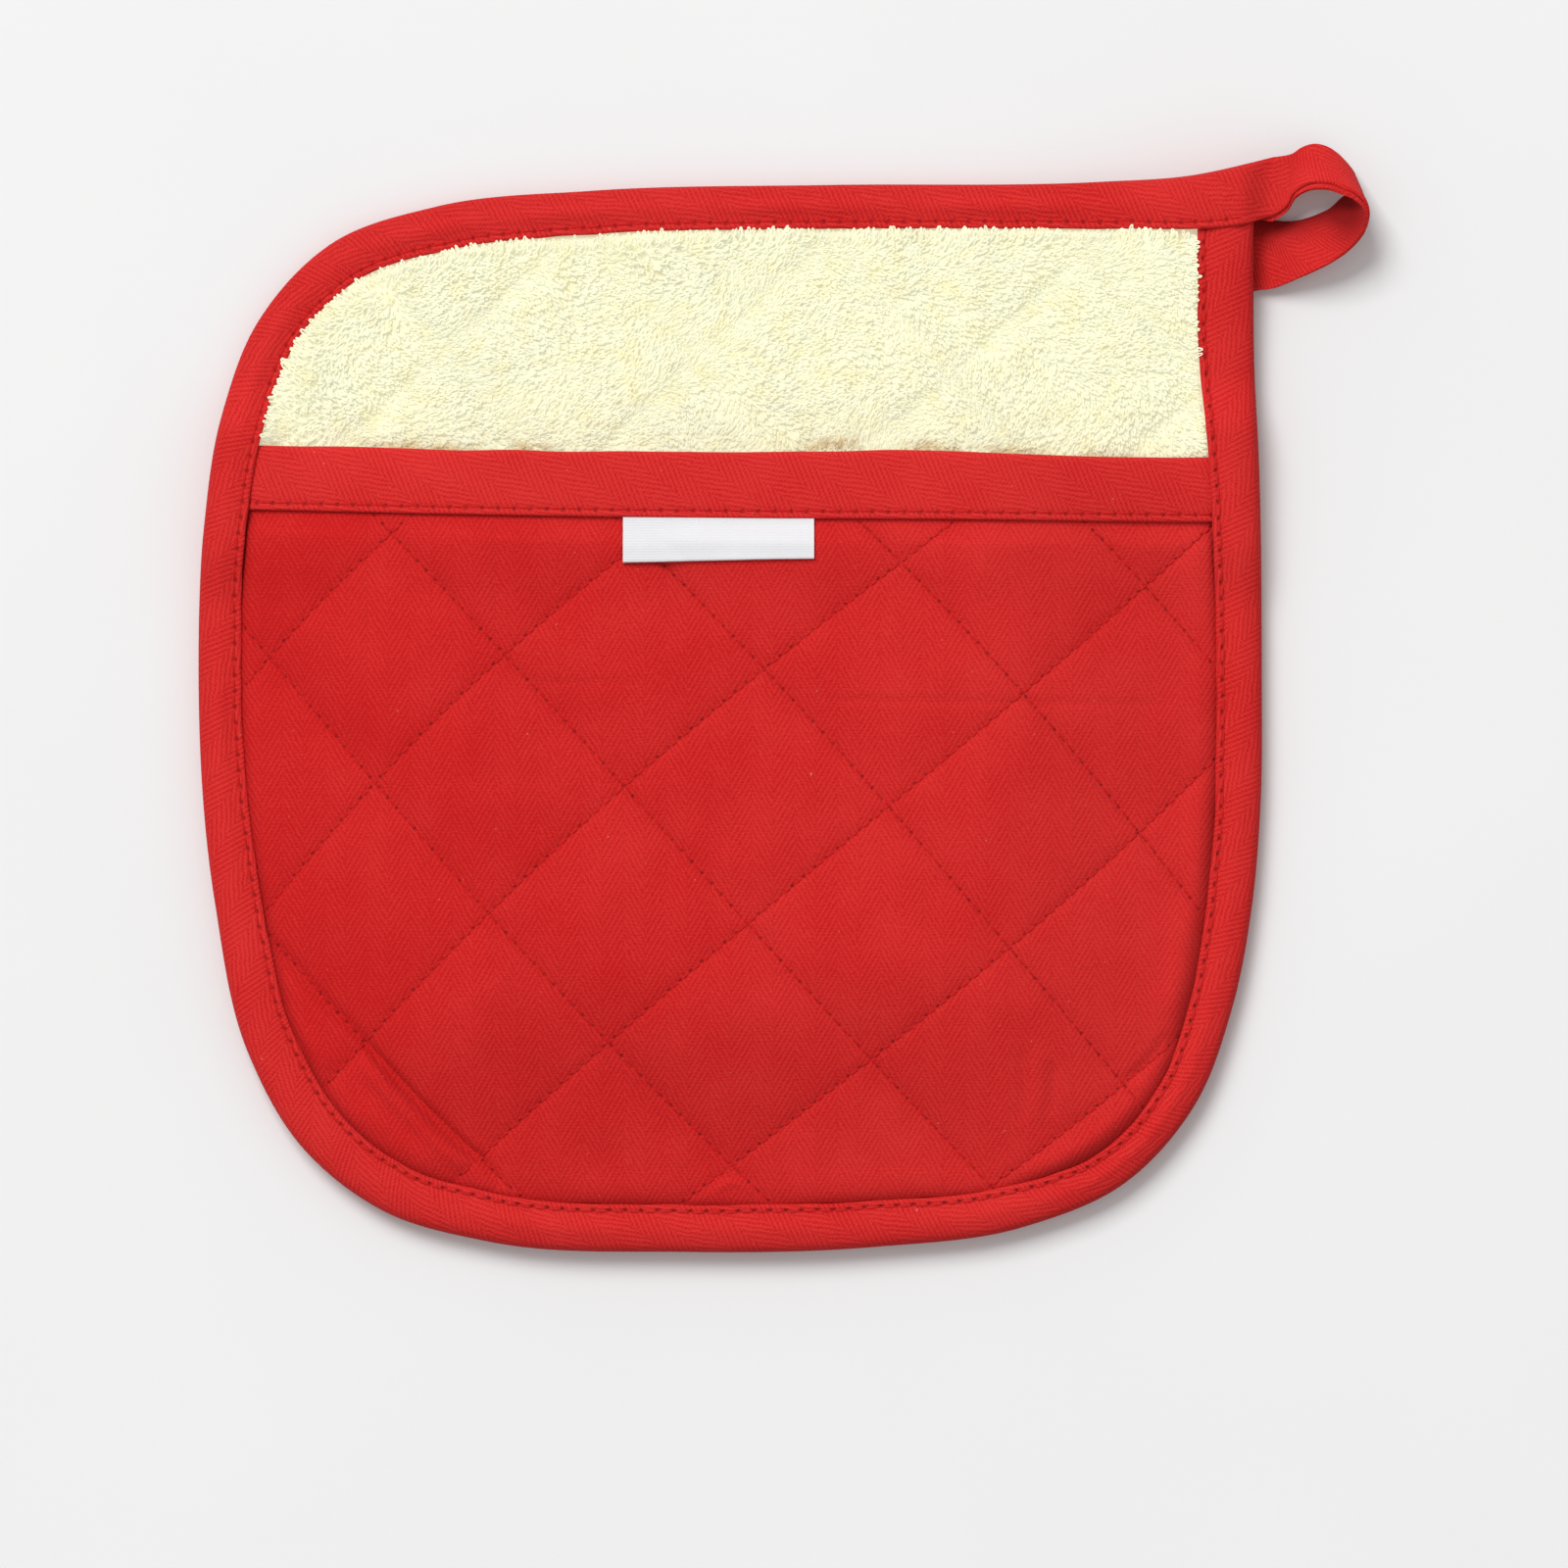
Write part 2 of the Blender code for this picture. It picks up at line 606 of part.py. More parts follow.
def make_hanging_loop(material, collection):
    """The binding's free end, folded flat and turned back behind the corner, leaning over."""
    rows = smooth_path(LOOP, LOOP_STEP)
    high, low = rows[:, :3], rows[:, 3:]
    across = low - high
    across /= np.linalg.norm(across, axis=1)[:, None]
    along = np.gradient(0.5 * (high + low), axis=0)
    face = np.cross(across, along)
    face /= np.linalg.norm(face, axis=1)[:, None]
    half = 0.5 * LOOP_THICK
    profile = [
        (high, 0.0, 0.5), (high, 0.6, 1.0), (low, -0.6, 1.0), (low, 0.0, 0.5),
        (low, 0.0, -0.5), (low, -0.6, -1.0), (high, 0.6, -1.0), (high, 0.0, -0.5),
    ]
    sections = np.zeros((len(rows), len(profile), 3))
    for i, (edge, inset, side) in enumerate(profile):
        sections[:, i] = edge + across * inset + face * side * half
    return loft("hanging_loop", sections, material, collection)


def make_label(material, collection):
    """A woven tab that lies on the pocket just under its binding."""
    rows = smooth_path(LABEL, LABEL_STEP)
    x, upper, lower = rows.T
    shares = (0.0, 0.25, 0.5, 0.75, 1.0)
    seat = []
    for share in shares:
        y = upper + (lower - upper) * share
        z = pocket_over(x, y)
        seat.append((y, np.maximum(z, label_floor(x, y)) + GAP + 0.05))
    sections = np.zeros((len(rows), 2 * len(shares), 3))
    for i, (y, z) in enumerate(seat):
        for place, rise in ((i, LABEL_THICK), (2 * len(shares) - 1 - i, 0.0)):
            sections[:, place, 0] = x
            sections[:, place, 1] = y
            sections[:, place, 2] = z + rise
    return loft("label_tab", sections, material, collection)


def label_floor(x, y):
    """The label is stiffer than the cloth, so it bridges the hollow of a stitched line."""
    return pocket_middle(x, y) + 0.5 * POCKET_RIM + 0.5 * PUFF_OVER * smooth((39.8 - y) / 6.0)


def stand_on_origin(pieces):
    """Move every piece so that the middle of the whole lies over the origin, on the table."""
    corners = np.array([v.co[:] for piece in pieces for v in piece.data.vertices])
    low, high = corners.min(axis=0), corners.max(axis=0)
    shift = Vector((-0.5 * (low[0] + high[0]), -0.5 * (low[1] + high[1]), -low[2]))
    for piece in pieces:
        for vertex in piece.data.vertices:
            vertex.co += shift


def main():
    for old in list(bpy.data.objects):
        bpy.data.objects.remove(old, do_unlink=True)
    collection = bpy.data.collections.new(PART_NAME)
    bpy.context.scene.collection.children.link(collection)
    pieces = [
        make_back_panel(cloth_material("back_twill", RED_TWILL, 0.92), collection),
        make_terry_lining(cloth_material("cream_terry", CREAM_TERRY, 0.97), collection),
        make_pocket_panel(cloth_material("pocket_twill", RED_TWILL, 0.92), collection),
        make_pocket_binding(cloth_material("mouth_twill", RED_BINDING, 0.9), collection),
        make_edge_binding(cloth_material("edge_twill", RED_BINDING, 0.9), collection),
        make_hanging_loop(cloth_material("loop_twill", RED_BINDING, 0.9), collection),
        make_label(cloth_material("woven_label", WHITE_LABEL, 0.6), collection),
    ]
    stand_on_origin(pieces)


main()
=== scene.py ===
# %% [markdown]
# # A pocket pot holder, piece by piece
# The object is a square of quilted cloth with rounded corners: a red twill back, a cream terry
# lining, a red pocket over the lower two thirds, and bias strips folded over every edge, one of
# them going on as a loop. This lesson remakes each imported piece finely, and sews and dyes it.

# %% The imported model
import math
from functools import partialmethod

import bpy
import numpy as np
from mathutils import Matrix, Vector
from mathutils.geometry import delaunay_2d_cdt


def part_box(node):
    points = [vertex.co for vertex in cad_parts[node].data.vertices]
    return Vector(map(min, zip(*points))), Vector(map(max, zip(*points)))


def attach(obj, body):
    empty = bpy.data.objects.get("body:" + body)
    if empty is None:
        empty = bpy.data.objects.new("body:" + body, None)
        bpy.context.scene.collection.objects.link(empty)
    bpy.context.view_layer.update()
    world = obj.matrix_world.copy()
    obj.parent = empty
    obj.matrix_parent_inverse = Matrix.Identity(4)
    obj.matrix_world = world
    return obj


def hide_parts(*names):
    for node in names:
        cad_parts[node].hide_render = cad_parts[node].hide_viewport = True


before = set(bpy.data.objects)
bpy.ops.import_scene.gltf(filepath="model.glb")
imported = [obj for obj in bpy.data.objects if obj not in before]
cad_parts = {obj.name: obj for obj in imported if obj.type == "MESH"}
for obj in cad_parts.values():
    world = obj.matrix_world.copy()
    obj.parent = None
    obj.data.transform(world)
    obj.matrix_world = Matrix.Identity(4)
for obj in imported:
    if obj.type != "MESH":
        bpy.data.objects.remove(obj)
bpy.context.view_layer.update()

print("nodes:", sorted(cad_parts))

# %% [markdown]
# ## The cut of the cloth
# A maker starts from a paper pattern, and so does a script. The outline, the pocket's mouth, the
# loop and the label are short tables in millimetres from the middle of the body. A smooth curve
# through each table gives as many points as a mesh needs.

# %% Sizes, in millimetres
MM = 0.001
GAP = 0.3
BINDING_WALL = 1.1
MOUTH_WALL = 1
RIM_INSET = 1.7                     # from the outer edge to the panels' raw edges
BACK_LEG = 9.5                      # width of the binding behind
BACK_TOP = 2.6
TERRY_RIM = 1
POCKET_RIM = 1.2
LOOP_THICK = 1.7
STITCH = 3.3                        # length of a stitch along the strips
QUILT_STITCH = 2.9
ROW_INSET = 1.55                    # from a strip's edge to its row of stitches

# %% The outline, clockwise from the top of the right side
# Columns: x, y, and the width of the binding that shows on the front.
EDGE = (
    (106.7, 106.5, 11.6),
    (106.7, 90, 11.6),
    (106.9, 72, 11.2),
    (107.9, 50.3, 10.2),
    (108.5, 9.5, 9.5),
    (108.2, -19, 9.4),
    (106.5, -38.7, 9.3),
    (102.5, -59.3, 8.8),
    (94.7, -79.5, 8.3),
    (80.3, -95.4, 8.2),
    (60.2, -104.1, 8.9),
    (29.1, -108.3, 9.6),
    (-9.5, -109.3, 9.8),
    (-49.9, -107.1, 10),
    (-70.8, -101, 10.4),
    (-87.7, -87.7, 10.5),
    (-98.5, -68.8, 10.3),
    (-105.3, -38.3, 9.8),
    (-108.7, 10, 8.8),
    (-107.5, 39.1, 8.8),
    (-104.3, 60.1, 8.9),
    (-96.5, 80.9, 9),
    (-81.3, 96.9, 9.2),
    (-60.1, 104.3, 9.2),
    (-28.7, 107.5, 9.1),
    (20, 108.7, 9),
    (76.7, 109.3, 9.7),
    (93.5, 110.4, 11),
    (107.1, 113.3, 12.8),
    (110.6, 114.2, 13.1),
)

# %% The pocket's mouth
# Columns: x, y of the folded edge, y of the lower edge of its binding.
MOUTH = (
    (-108, 55.3, 42.3),
    (-93, 55.3, 42.1),
    (-60, 54.4, 41.2),
    (0, 53.9, 40.3),
    (40, 54.1, 40.1),
    (75, 53.1, 39.8),
    (95, 52.8, 39.7),
    (108, 52.8, 39.7),
)

# %% The loop, from the end of the top binding round to its tail behind the corner
# Columns: x, y, z of the open edge, then x, y, z of the folded edge.
LOOP = (
    (110.9, 101.2, 5.9, 110.9, 114.2, 5.9),
    (113.4, 103.2, 6.5, 114.5, 114.9, 5.3),
    (115.1, 106.1, 7.4, 116.9, 116.3, 4.6),
    (117.7, 107.5, 8.6, 119.2, 116.9, 4),
    (121.3, 107.8, 9.8, 122.2, 116.1, 3.4),
    (124.7, 106.9, 11, 125.5, 113.1, 2.8),
    (127.3, 105.9, 11.9, 127, 110.7, 2.2),
    (129, 104.4, 12.2, 127.2, 108.8, 1.9),
    (129.8, 102.6, 12.1, 126.5, 107.2, 1.8),
    (129.5, 99.4, 11.5, 125, 105.9, 1.6),
    (128.3, 97.2, 10.6, 122.8, 103.9, 1.5),
    (126, 94.8, 9.4, 120.1, 102.6, 1.4),
    (122.4, 92.4, 8, 117, 101.6, 1.3),
    (116.9, 89.9, 5.4, 113.7, 101.3, 1.1),
    (111.6, 87.8, 2.5, 110.7, 101.6, 1),
    (107.6, 87, 1.1, 107.2, 101.6, 1),
    (103.9, 86.6, 1, 103.9, 101, 1),
)

# %% The label
# Columns: x, y of the upper edge, y of the lower edge.
LABEL = (
    (-21.8, 40.5, 31.2),
    (-8.6, 40.4, 31.5),
    (4.4, 40.3, 31.8),
    (17, 40.3, 32),
)


# %% A smooth curve through a table
def smooth(t):
    """0 below 0, 1 above 1, and an easy curve between them."""
    t = np.clip(t, 0, 1)
    return t * t * (3 - 2 * t)


def bell(away, width):
    """1 at 0, and fading out over about `width`."""
    return np.exp(-(away / width) ** 2)


def smooth_path(rows, step):
    """Points on a smooth curve through the rows, `step` apart, with every column carried along."""
    rows = np.array(rows, float)
    length = np.concatenate([[0], np.cumsum(np.linalg.norm(np.diff(rows, axis=0), axis=1))])
    slope = np.gradient(rows, length, axis=0)
    at = np.linspace(0, length[-1], round(length[-1] / step) + 1)
    k = np.clip(np.searchsorted(length, at, side="right") - 1, 0, len(rows) - 2)
    span = (length[k + 1] - length[k])[:, None]
    f = (at - length[k])[:, None] / span
    near = rows[k] * (1 + 2 * f) * (1 - f) ** 2 + slope[k] * span * f * (1 - f) ** 2
    far = rows[k + 1] * f * f * (3 - 2 * f) + slope[k + 1] * span * f * f * (f - 1)
    return near + far


# %% Where the pattern lies in the model
# The leftmost and lowest points of the edge strip are known in both, which gives the shift.
edge_line = smooth_path(EDGE, 1)
strip_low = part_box("edge_binding")[0]
SHIFT_X = strip_low.x / MM - edge_line[:, 0].min()
SHIFT_Y = strip_low.y / MM - edge_line[:, 1].min()
print(f"middle of the body in the model: {SHIFT_X:.2f}, {SHIFT_Y:.2f} mm")


def in_model(points):
    """Points of the pattern, in millimetres, as metres in the model."""
    return (np.asarray(points, float) + (SHIFT_X, SHIFT_Y, 0)) * MM


# %% Distances from the edge
LOOP_END = (105.2, 108)             # past both, the outline is that of the end that makes the loop
CORNER = (106.7, 113, 12.4)         # the body's own corner there, in the columns of EDGE
POCKET_SIDES_TOP = 76               # y up to which the edge matters to the pocket


def body_ring(step):
    """The body's outer edge as a closed ring of x, y and band width, without the loop's end."""
    path = smooth_path(EDGE, step)
    on_body = ~(path[:, :2] > LOOP_END).all(axis=1)
    return np.vstack([CORNER, path[on_body]])


BODY_EDGE = np.vstack([body_ring(1.5), body_ring(1.5)[:1]])
POCKET_EDGE = BODY_EDGE[BODY_EDGE[:, 1] < POCKET_SIDES_TOP]


def line_distance(x, y, line):
    """Distance from each point to a line of points, and where along it, from 0 to its count."""
    away, place = np.full(len(x), np.inf), np.zeros(len(x))
    for i in range(len(line) - 1):
        leg = line[i + 1, :2] - line[i, :2]
        px, py = x - line[i, 0], y - line[i, 1]
        f = np.clip((px * leg[0] + py * leg[1]) / (leg @ leg), 0, 1)
        gap = np.hypot(px - f * leg[0], py - f * leg[1])
        nearer = gap < away
        away = np.where(nearer, gap, away)
        place = np.where(nearer, i + f, place)
    return away, place


def edge_distance(x, y, edge=BODY_EDGE):
    """Distance in from the outer edge, and the binding's width beside each point."""
    away, place = line_distance(x, y, edge)
    return away, np.interp(place, np.arange(len(edge)), edge[:, 2])


def past_band(x, y, edge=BODY_EDGE):
    """Distance in from the inner edge of the binding."""
    away, band = edge_distance(x, y, edge)
    return away - band


mouth_line = smooth_path(MOUTH, 2)


def mouth_lines(x):
    """The y of the pocket's folded edge and of its binding's lower edge, over x."""
    return (np.interp(x, mouth_line[:, 0], mouth_line[:, 1]),
            np.interp(x, mouth_line[:, 0], mouth_line[:, 2]))


# %% Soft unevenness
NOISE_GRID = 61                     # heights each way, after which the noise repeats
NOISE_MIDDLE = 500


def between(first, second, share):
    """first where share is 0, second where it is 1."""
    return first * (1 - share) + second * share


def soft_noise(x, y, size, seed):
    """Smooth hills and hollows from -1 to 1, about `size` mm across, the same on every run."""
    heights = np.random.default_rng(seed).uniform(-1, 1, (NOISE_GRID, NOISE_GRID))
    u, v = np.asarray(x) / size + NOISE_MIDDLE, np.asarray(y) / size + NOISE_MIDDLE
    i, j = np.floor(u).astype(int), np.floor(v).astype(int)
    f, g = smooth(u - i), smooth(v - j)
    low, high = (between(heights[i % NOISE_GRID, row % NOISE_GRID],
                         heights[(i + 1) % NOISE_GRID, row % NOISE_GRID], f)
                 for row in (j, j + 1))
    return between(low, high, g)


def along_noise(u, size, seed):
    """The same along a line."""
    return soft_noise(u, 0 * u, size, seed)


# %% [markdown]
# ## Quilting lines
# Two families of stitched lines cross in diamonds. Nobody sews them dead straight, so the
# crossings were measured one by one, and a smooth formula is fitted to them. It turns a place
# into two numbers, a and b, that are whole on the lines. The same formula shapes the mesh,
# places the threads and draws the needle holes.

# %% The pocket's crossings
# Columns: number of the rising line, number of the falling line, x, y.
CROSSINGS = (
    (0, 0, -69.3, 37.5), (1, 0, -44.9, 11.7), (2, 0, -20.9, -13.5), (3, 0, 3.5, -41.7),
    (4, 0, 29.5, -69.5), (0, -1, -93.7, 12.1), (1, -1, -73.5, -12.9), (2, -1, -49.1, -40.9),
    (3, -1, -25.9, -66.1), (4, -1, 0.1, -91.9), (2, -2, -73.9, -66.7), (3, -2, -51.3, -89.5),
    (2, 1, 7.1, 9.5), (3, 1, 31.7, -17.1), (4, 1, 57.1, -48.3), (5, 1, 79.9, -74.5),
    (2, 2, 34.3, 31.3), (3, 2, 58.9, 4.5), (3, 3, 84.9, 26.7),
)
QUILT_PITCH = 36.4


def powers(x, y):
    """The terms of the fitted formula, for points given in millimetres."""
    u, v = x * 0.01, y * 0.01
    return [u * 0 + 1, u, v, u * u, u * v, v * v, u * u * u, u * u * v, u * v * v, v * v * v]


def fitted_lattice(crossings):
    """The numbers that the formula needs, one list for a and one for b."""
    rows = np.array(crossings, float)
    terms = np.column_stack(powers(rows[:, 2], rows[:, 3]))
    stiffness = np.diag([0] * 3 + [0.02] * 3 + [0.06] * 4)
    held = np.vstack([terms, stiffness])
    fits = [np.linalg.lstsq(held, np.concatenate([rows[:, k], np.zeros(10)]), rcond=None)[0]
            for k in (0, 1)]
    for name, k in (("rising", 0), ("falling", 1)):
        miss = np.abs(terms @ fits[k] - rows[:, k]).max() * QUILT_PITCH
        print(f"{name} lines pass within {miss:.2f} mm of every crossing")
    return fits


def weighted(terms, weights):
    """The sum of each term times its weight."""
    return sum(term * float(weight) for term, weight in zip(terms, weights))


POCKET_LATTICE = fitted_lattice(CROSSINGS)

# %% The back's lines, which the terry shares
# They are a plain turned square, and show on the terry as faint hollows.
BACK_CROSSING = np.array((44.9, 70.3))
BACK_PITCH = 36.8
BACK_TURN = math.radians(-47.5)
back_cos, back_sin = math.cos(BACK_TURN) / BACK_PITCH, math.sin(BACK_TURN) / BACK_PITCH
BACK_LATTICE = [np.array([-(BACK_CROSSING @ axis), *(axis * 100), *[0] * 7])
                for axis in np.array([(back_cos, back_sin), (-back_sin, back_cos)])]


def quilt_place(x, y, lattice):
    """Where points lie among the stitched lines, which are at whole numbers of a and of b."""
    terms = powers(x, y)
    return weighted(terms, lattice[0]), weighted(terms, lattice[1])


def quilt_spot(a, b, lattice, x, y):
    """The x, y of given a and b, found from a first guess by a few steps of Newton's method."""
    nudge = 0.5
    for _ in range(8):
        a0, b0 = quilt_place(x, y, lattice)
        ax, bx = quilt_place(x + nudge, y, lattice)
        ay, by = quilt_place(x, y + nudge, lattice)
        ax, bx, ay, by = (ax - a0) / nudge, (bx - b0) / nudge, (ay - a0) / nudge, (by - b0) / nudge
        det = ax * by - ay * bx
        x, y = (x + ((a - a0) * by - (b - b0) * ay) / det,
                y + ((b - b0) * ax - (a - a0) * bx) / det)
    return x, y


def rounded(t):
    """A quarter circle: upright at 0, level at 1."""
    t = np.clip(t, 0, 1)
    return np.sqrt(1 - (1 - t) ** 2)


def pillow(x, y, lattice, steep=2.4):
    """0 on a stitched line and 1 in the middle of a diamond, steep beside the stitches."""
    share = 1
    for place in quilt_place(x, y, lattice):
        off_line = np.abs(place - np.round(place)) * 2
        share = share * (1 - (1 - off_line) ** steep)
    return share


def off_lines(x, y, lattice):
    """Distance in mm to the nearest stitched line."""
    a, b = quilt_place(x, y, lattice)
    return QUILT_PITCH * np.minimum(np.abs(a - np.round(a)), np.abs(b - np.round(b)))


# %% [markdown]
# ## Heights
# Each layer is a height over the table for every x and y: what is under it, plus its own
# thickness, puffs and folds. Working with heights keeps the layers in order, so that none pokes
# through another, and the corner over the loop's hidden tail lifts them all together.

# %% The raised corner
# Columns: x and y of the middle, height, radius of the flat top, reach.
TAIL_MOUND = (106.7, 97, 2.4, 18, 72)
TUCK_MOUND = (106.7, 112, BINDING_WALL + GAP, 17, 36)


def mound(x, y, middle_x, middle_y, height, flat, reach):
    away = np.hypot(x - middle_x, y - middle_y)
    return height * smooth((reach - away) / (reach - flat))


def lift(x, y):
    """How far the corner is held up by the loop's tail."""
    return mound(x, y, *TAIL_MOUND)


def tuck(x, y):
    """How much higher the layers lie where the top strip is folded round the right one."""
    return mound(x, y, *TUCK_MOUND)


# %% Height of what the edge strip holds
def held_top(y):
    """Top of what the edge binding holds, over the table: terry, pocket, or pocket and mouth."""
    terry = BACK_TOP + GAP + TERRY_RIM
    pocket = GAP + POCKET_RIM
    mouth = 2 * (MOUTH_WALL + GAP)
    below_terry = smooth((70 - y) / 12)
    below_mouth = smooth((36 - y) / 14)
    return terry + (pocket + mouth) * below_terry - mouth * below_mouth


# %% The back and the terry's ground
BACK_CHANNEL = 1
TERRY_GROUND = 0.9                  # thickness of the cloth that carries the pile, at its rim
TERRY_FULLER = 0.55                 # and how much more where nothing holds it


def back_under(x, y):
    """Underside of the back: on the table in the diamonds, higher where stitches or a leg are."""
    held = 1 - smooth((edge_distance(x, y)[0] - BACK_LEG - 0.4) / 4.5)
    plump = smooth(pillow(x, y, BACK_LATTICE) / 0.38)
    groove = 0.3 * bell(off_lines(x, y, BACK_LATTICE), 0.9)
    low = np.maximum((BINDING_WALL + GAP) * held, BACK_CHANNEL * (1 - plump) + groove)
    return lift(x, y) + tuck(x, y) + low


def back_over(x, y):
    return lift(x, y) + tuck(x, y) + BACK_TOP


def terry_under(x, y):
    return lift(x, y) + tuck(x, y) + BACK_TOP + GAP


def bank(x, y, inside):
    """How the terry climbs to the edge strip above the thick ends of the mouth strip."""
    thick = held_top(y) - BACK_TOP - GAP - TERRY_RIM
    beside = smooth((6 - inside) / 6) * smooth((inside + 2.5) / 2)
    climbs = 0.9 - 0.45 * smooth(x / 40)
    return climbs * thick * beside * smooth((y - mouth_lines(x)[0] + 0.1) / 2)


def terry_over(x, y):
    """Top of the terry's ground, under its pile, a little lower along the quilting."""
    inside = past_band(x, y)
    full = TERRY_FULLER * smooth((inside - 0.2) / 3)
    plump = smooth(pillow(x, y, BACK_LATTICE) / 0.5)
    ground = terry_under(x, y) + TERRY_GROUND + 0.45 * bank(x, y, inside)
    return ground + full - 0.6 * full / TERRY_FULLER * (1 - plump)


# %% The pocket
PUFF = 2.2
CROWN, CROWN_REACH = 10, 50         # how high the pocket stands open, and how far in it still rises
CROWN_MOUTH = 0.85                  # share of that height at the mouth

# Folds and ridges, given one by one. Columns: three points x, y that a fold passes from, towards
# and to, its height (below 0 for a hollow) and its half width.
FOLDS = (
    (-95.5, -43.5, -87.5, -55, -71.5, -68.7, -0.9, 1.3),
    (-92.5, -50.5, -87.5, -58, -76, -68.5, 0.5, 1.8),
    (-78, -62.5, -62, -81.9, -49, -92.3, -2.1, 1),
    (-77.5, -67.5, -64.4, -84.2, -51.5, -93.8, 1.3, 1.7),
    (-53, -88, -49.5, -92, -46, -97.5, -1, 0.9),
    (-93.5, -58.5, -86, -67, -79.5, -71.5, 0.5, 2.6),
    (-76, -78, -68, -86, -58, -92.5, 0.5, 2.6),
    (89.5, -63.5, 86.5, -70, 79, -75.6, -0.6, 1.1),
    (88.5, -72.5, 76.5, -87, 56, -97, 0.5, 1.9),
    (89.5, -62.5, 91.5, -50, 94.5, -36, 0.4, 2.6),
    (59.5, -66, 60.5, -76, 59, -84, -0.35, 1.7),
    (66.5, -69, 65.5, -76, 65, -82, -0.3, 1.4),
    (63, -66, 62.8, -76, 62, -84, 0.3, 1.6),
    (12, 3.4, 55, 3, 97, 2.3, -0.22, 0.8),
    (-41, 7, -28, 6.9, -15, 6.7, -0.15, 0.8),
    (-73.3, 24.5, -73.4, 15, -73.2, 6, -0.18, 0.8),
    (-4, -97.4, 0.8, -92.6, 6.4, -97.8, 0.5, 0.8),
)


def folds(x, y):
    """Sum of the listed folds, each one fading out at its ends."""
    total = np.zeros(len(x))
    share = np.linspace(0, 1, 17)[:, None]
    for x0, y0, x1, y1, x2, y2, height, width in FOLDS:
        start, bend, end = np.array((x0, y0)), np.array((x1, y1)), np.array((x2, y2))
        line = start * (1 - share) ** 2 + bend * 2 * share * (1 - share) + end * share ** 2
        reach = 3 * width
        near = ((x > line[:, 0].min() - reach) & (x < line[:, 0].max() + reach)
                & (y > line[:, 1].min() - reach) & (y < line[:, 1].max() + reach))
        away, place = line_distance(x[near], y[near], line)
        along = place / (len(line) - 1)
        fade = smooth(along / 0.22) * smooth((1 - along) / 0.22)
        total[near] += height * fade * bell(away, width)
    return total


CREASE = np.array([(-73, -68.5), (-66.5, -76), (-59.5, -83.5), (-53, -88.8)])


def out_of_crease(x, y):
    """0 where a deep crease hides the stitches, at the lower left, and 1 everywhere else."""
    return smooth((line_distance(x, y, CREASE)[0] - 1.8) / 1.4)


def in_gutter(x, y):
    """How much the light is kept out of the gutter between the pocket and the binding."""
    right = smooth((x - 50) / 25) * smooth((15 - y) / 50) * smooth((y + 112) / 25)
    left = smooth((-60 - x) / 25) * smooth((-10 - y) / 40) * smooth((y + 95) / 15)
    share = 0.16 + 0.44 * right + 0.22 * left
    return share * bell(past_band(x, y, POCKET_EDGE) - 0.2, 1.3 + 0.9 * right)


def pocket_middle(x, y):
    """Middle of the pocket's thickness where it isn't puffed."""
    free = past_band(x, y, POCKET_EDGE) - 0.4
    rim = BACK_TOP + GAP + TERRY_RIM + GAP + 0.5 * POCKET_RIM
    crown = CROWN * (1 - (1 - CROWN_MOUTH) * smooth((y - 8) / 50))
    rise = crown * smooth(free / CROWN_REACH) + 0.9 * rounded((free + 0.5) / 5)
    mouth_rise = (MOUTH_WALL + GAP) * smooth((y - 22) / 14)
    return lift(x, y) + rim + mouth_rise + rise


def pocket_free(x, y):
    """1 where the pocket is free to puff, and 0 where a binding holds it flat."""
    held = rounded((past_band(x, y, POCKET_EDGE) + 0.2) / 5)
    return held * smooth((mouth_lines(x)[1] - 0.4 - y) / 5)


def pocket_over(x, y):
    """Top of the pocket: puffs, stitched grooves with a ridge below them, folds, unevenness."""
    free = pocket_free(x, y)
    rising, falling = quilt_place(x, y, POCKET_LATTICE)
    off_rising = 1 - 2 * np.abs(rising - np.round(rising))
    off_falling = 1 - 2 * np.abs(falling - np.round(falling))
    puff = PUFF * (1 - 0.5 * off_rising ** 2.8) * (1 - off_falling ** 2.8) * free
    groove = 0.22 * bell(off_lines(x, y, POCKET_LATTICE), 0.9)
    below = (np.round(falling) - falling) * QUILT_PITCH
    groove = (groove - 0.32 * bell(below - 1.3, 1.1)) * free
    uneven = 0.28 * soft_noise(x, y, 17, 3) + 0.1 * soft_noise(x, y, 6, 4)
    return pocket_middle(x, y) + 0.5 * POCKET_RIM + puff - groove + free * (folds(x, y) + uneven)


def pocket_under(x, y):
    return pocket_middle(x, y) - 0.5 * POCKET_RIM


# %% [markdown]
# ## Two ways to make a cloth mesh
# A panel is an outline filled with triangles twice, for its face and for its wrong side, and
# closed round the rim. A strip is a cross section swept along a path: a row of points for each
# station, joined to the next with quads. Both have their thickness, so they look right from
# every side. Marks stored on the points tell the dyes what is sewn and what lies in the dark.

# %% A mesh object from points and faces
SHARP = math.radians(55)            # edges that turn by more than this are left sharp


def placed(name, data):
    """A new object in the scene."""
    made = bpy.data.objects.new(name, data)
    bpy.context.scene.collection.objects.link(made)
    return made


def store(mesh, **marks):
    """Numbers or directions for every point of a mesh, for its cloth or its tree to read."""
    for label, values in marks.items():
        kind, field = ("FLOAT_VECTOR", "vector") if np.ndim(values) == 2 else ("FLOAT", "value")
        attribute = mesh.attributes.new(label, kind, "POINT")
        attribute.data.foreach_set(field, np.asarray(values, np.float32).ravel())


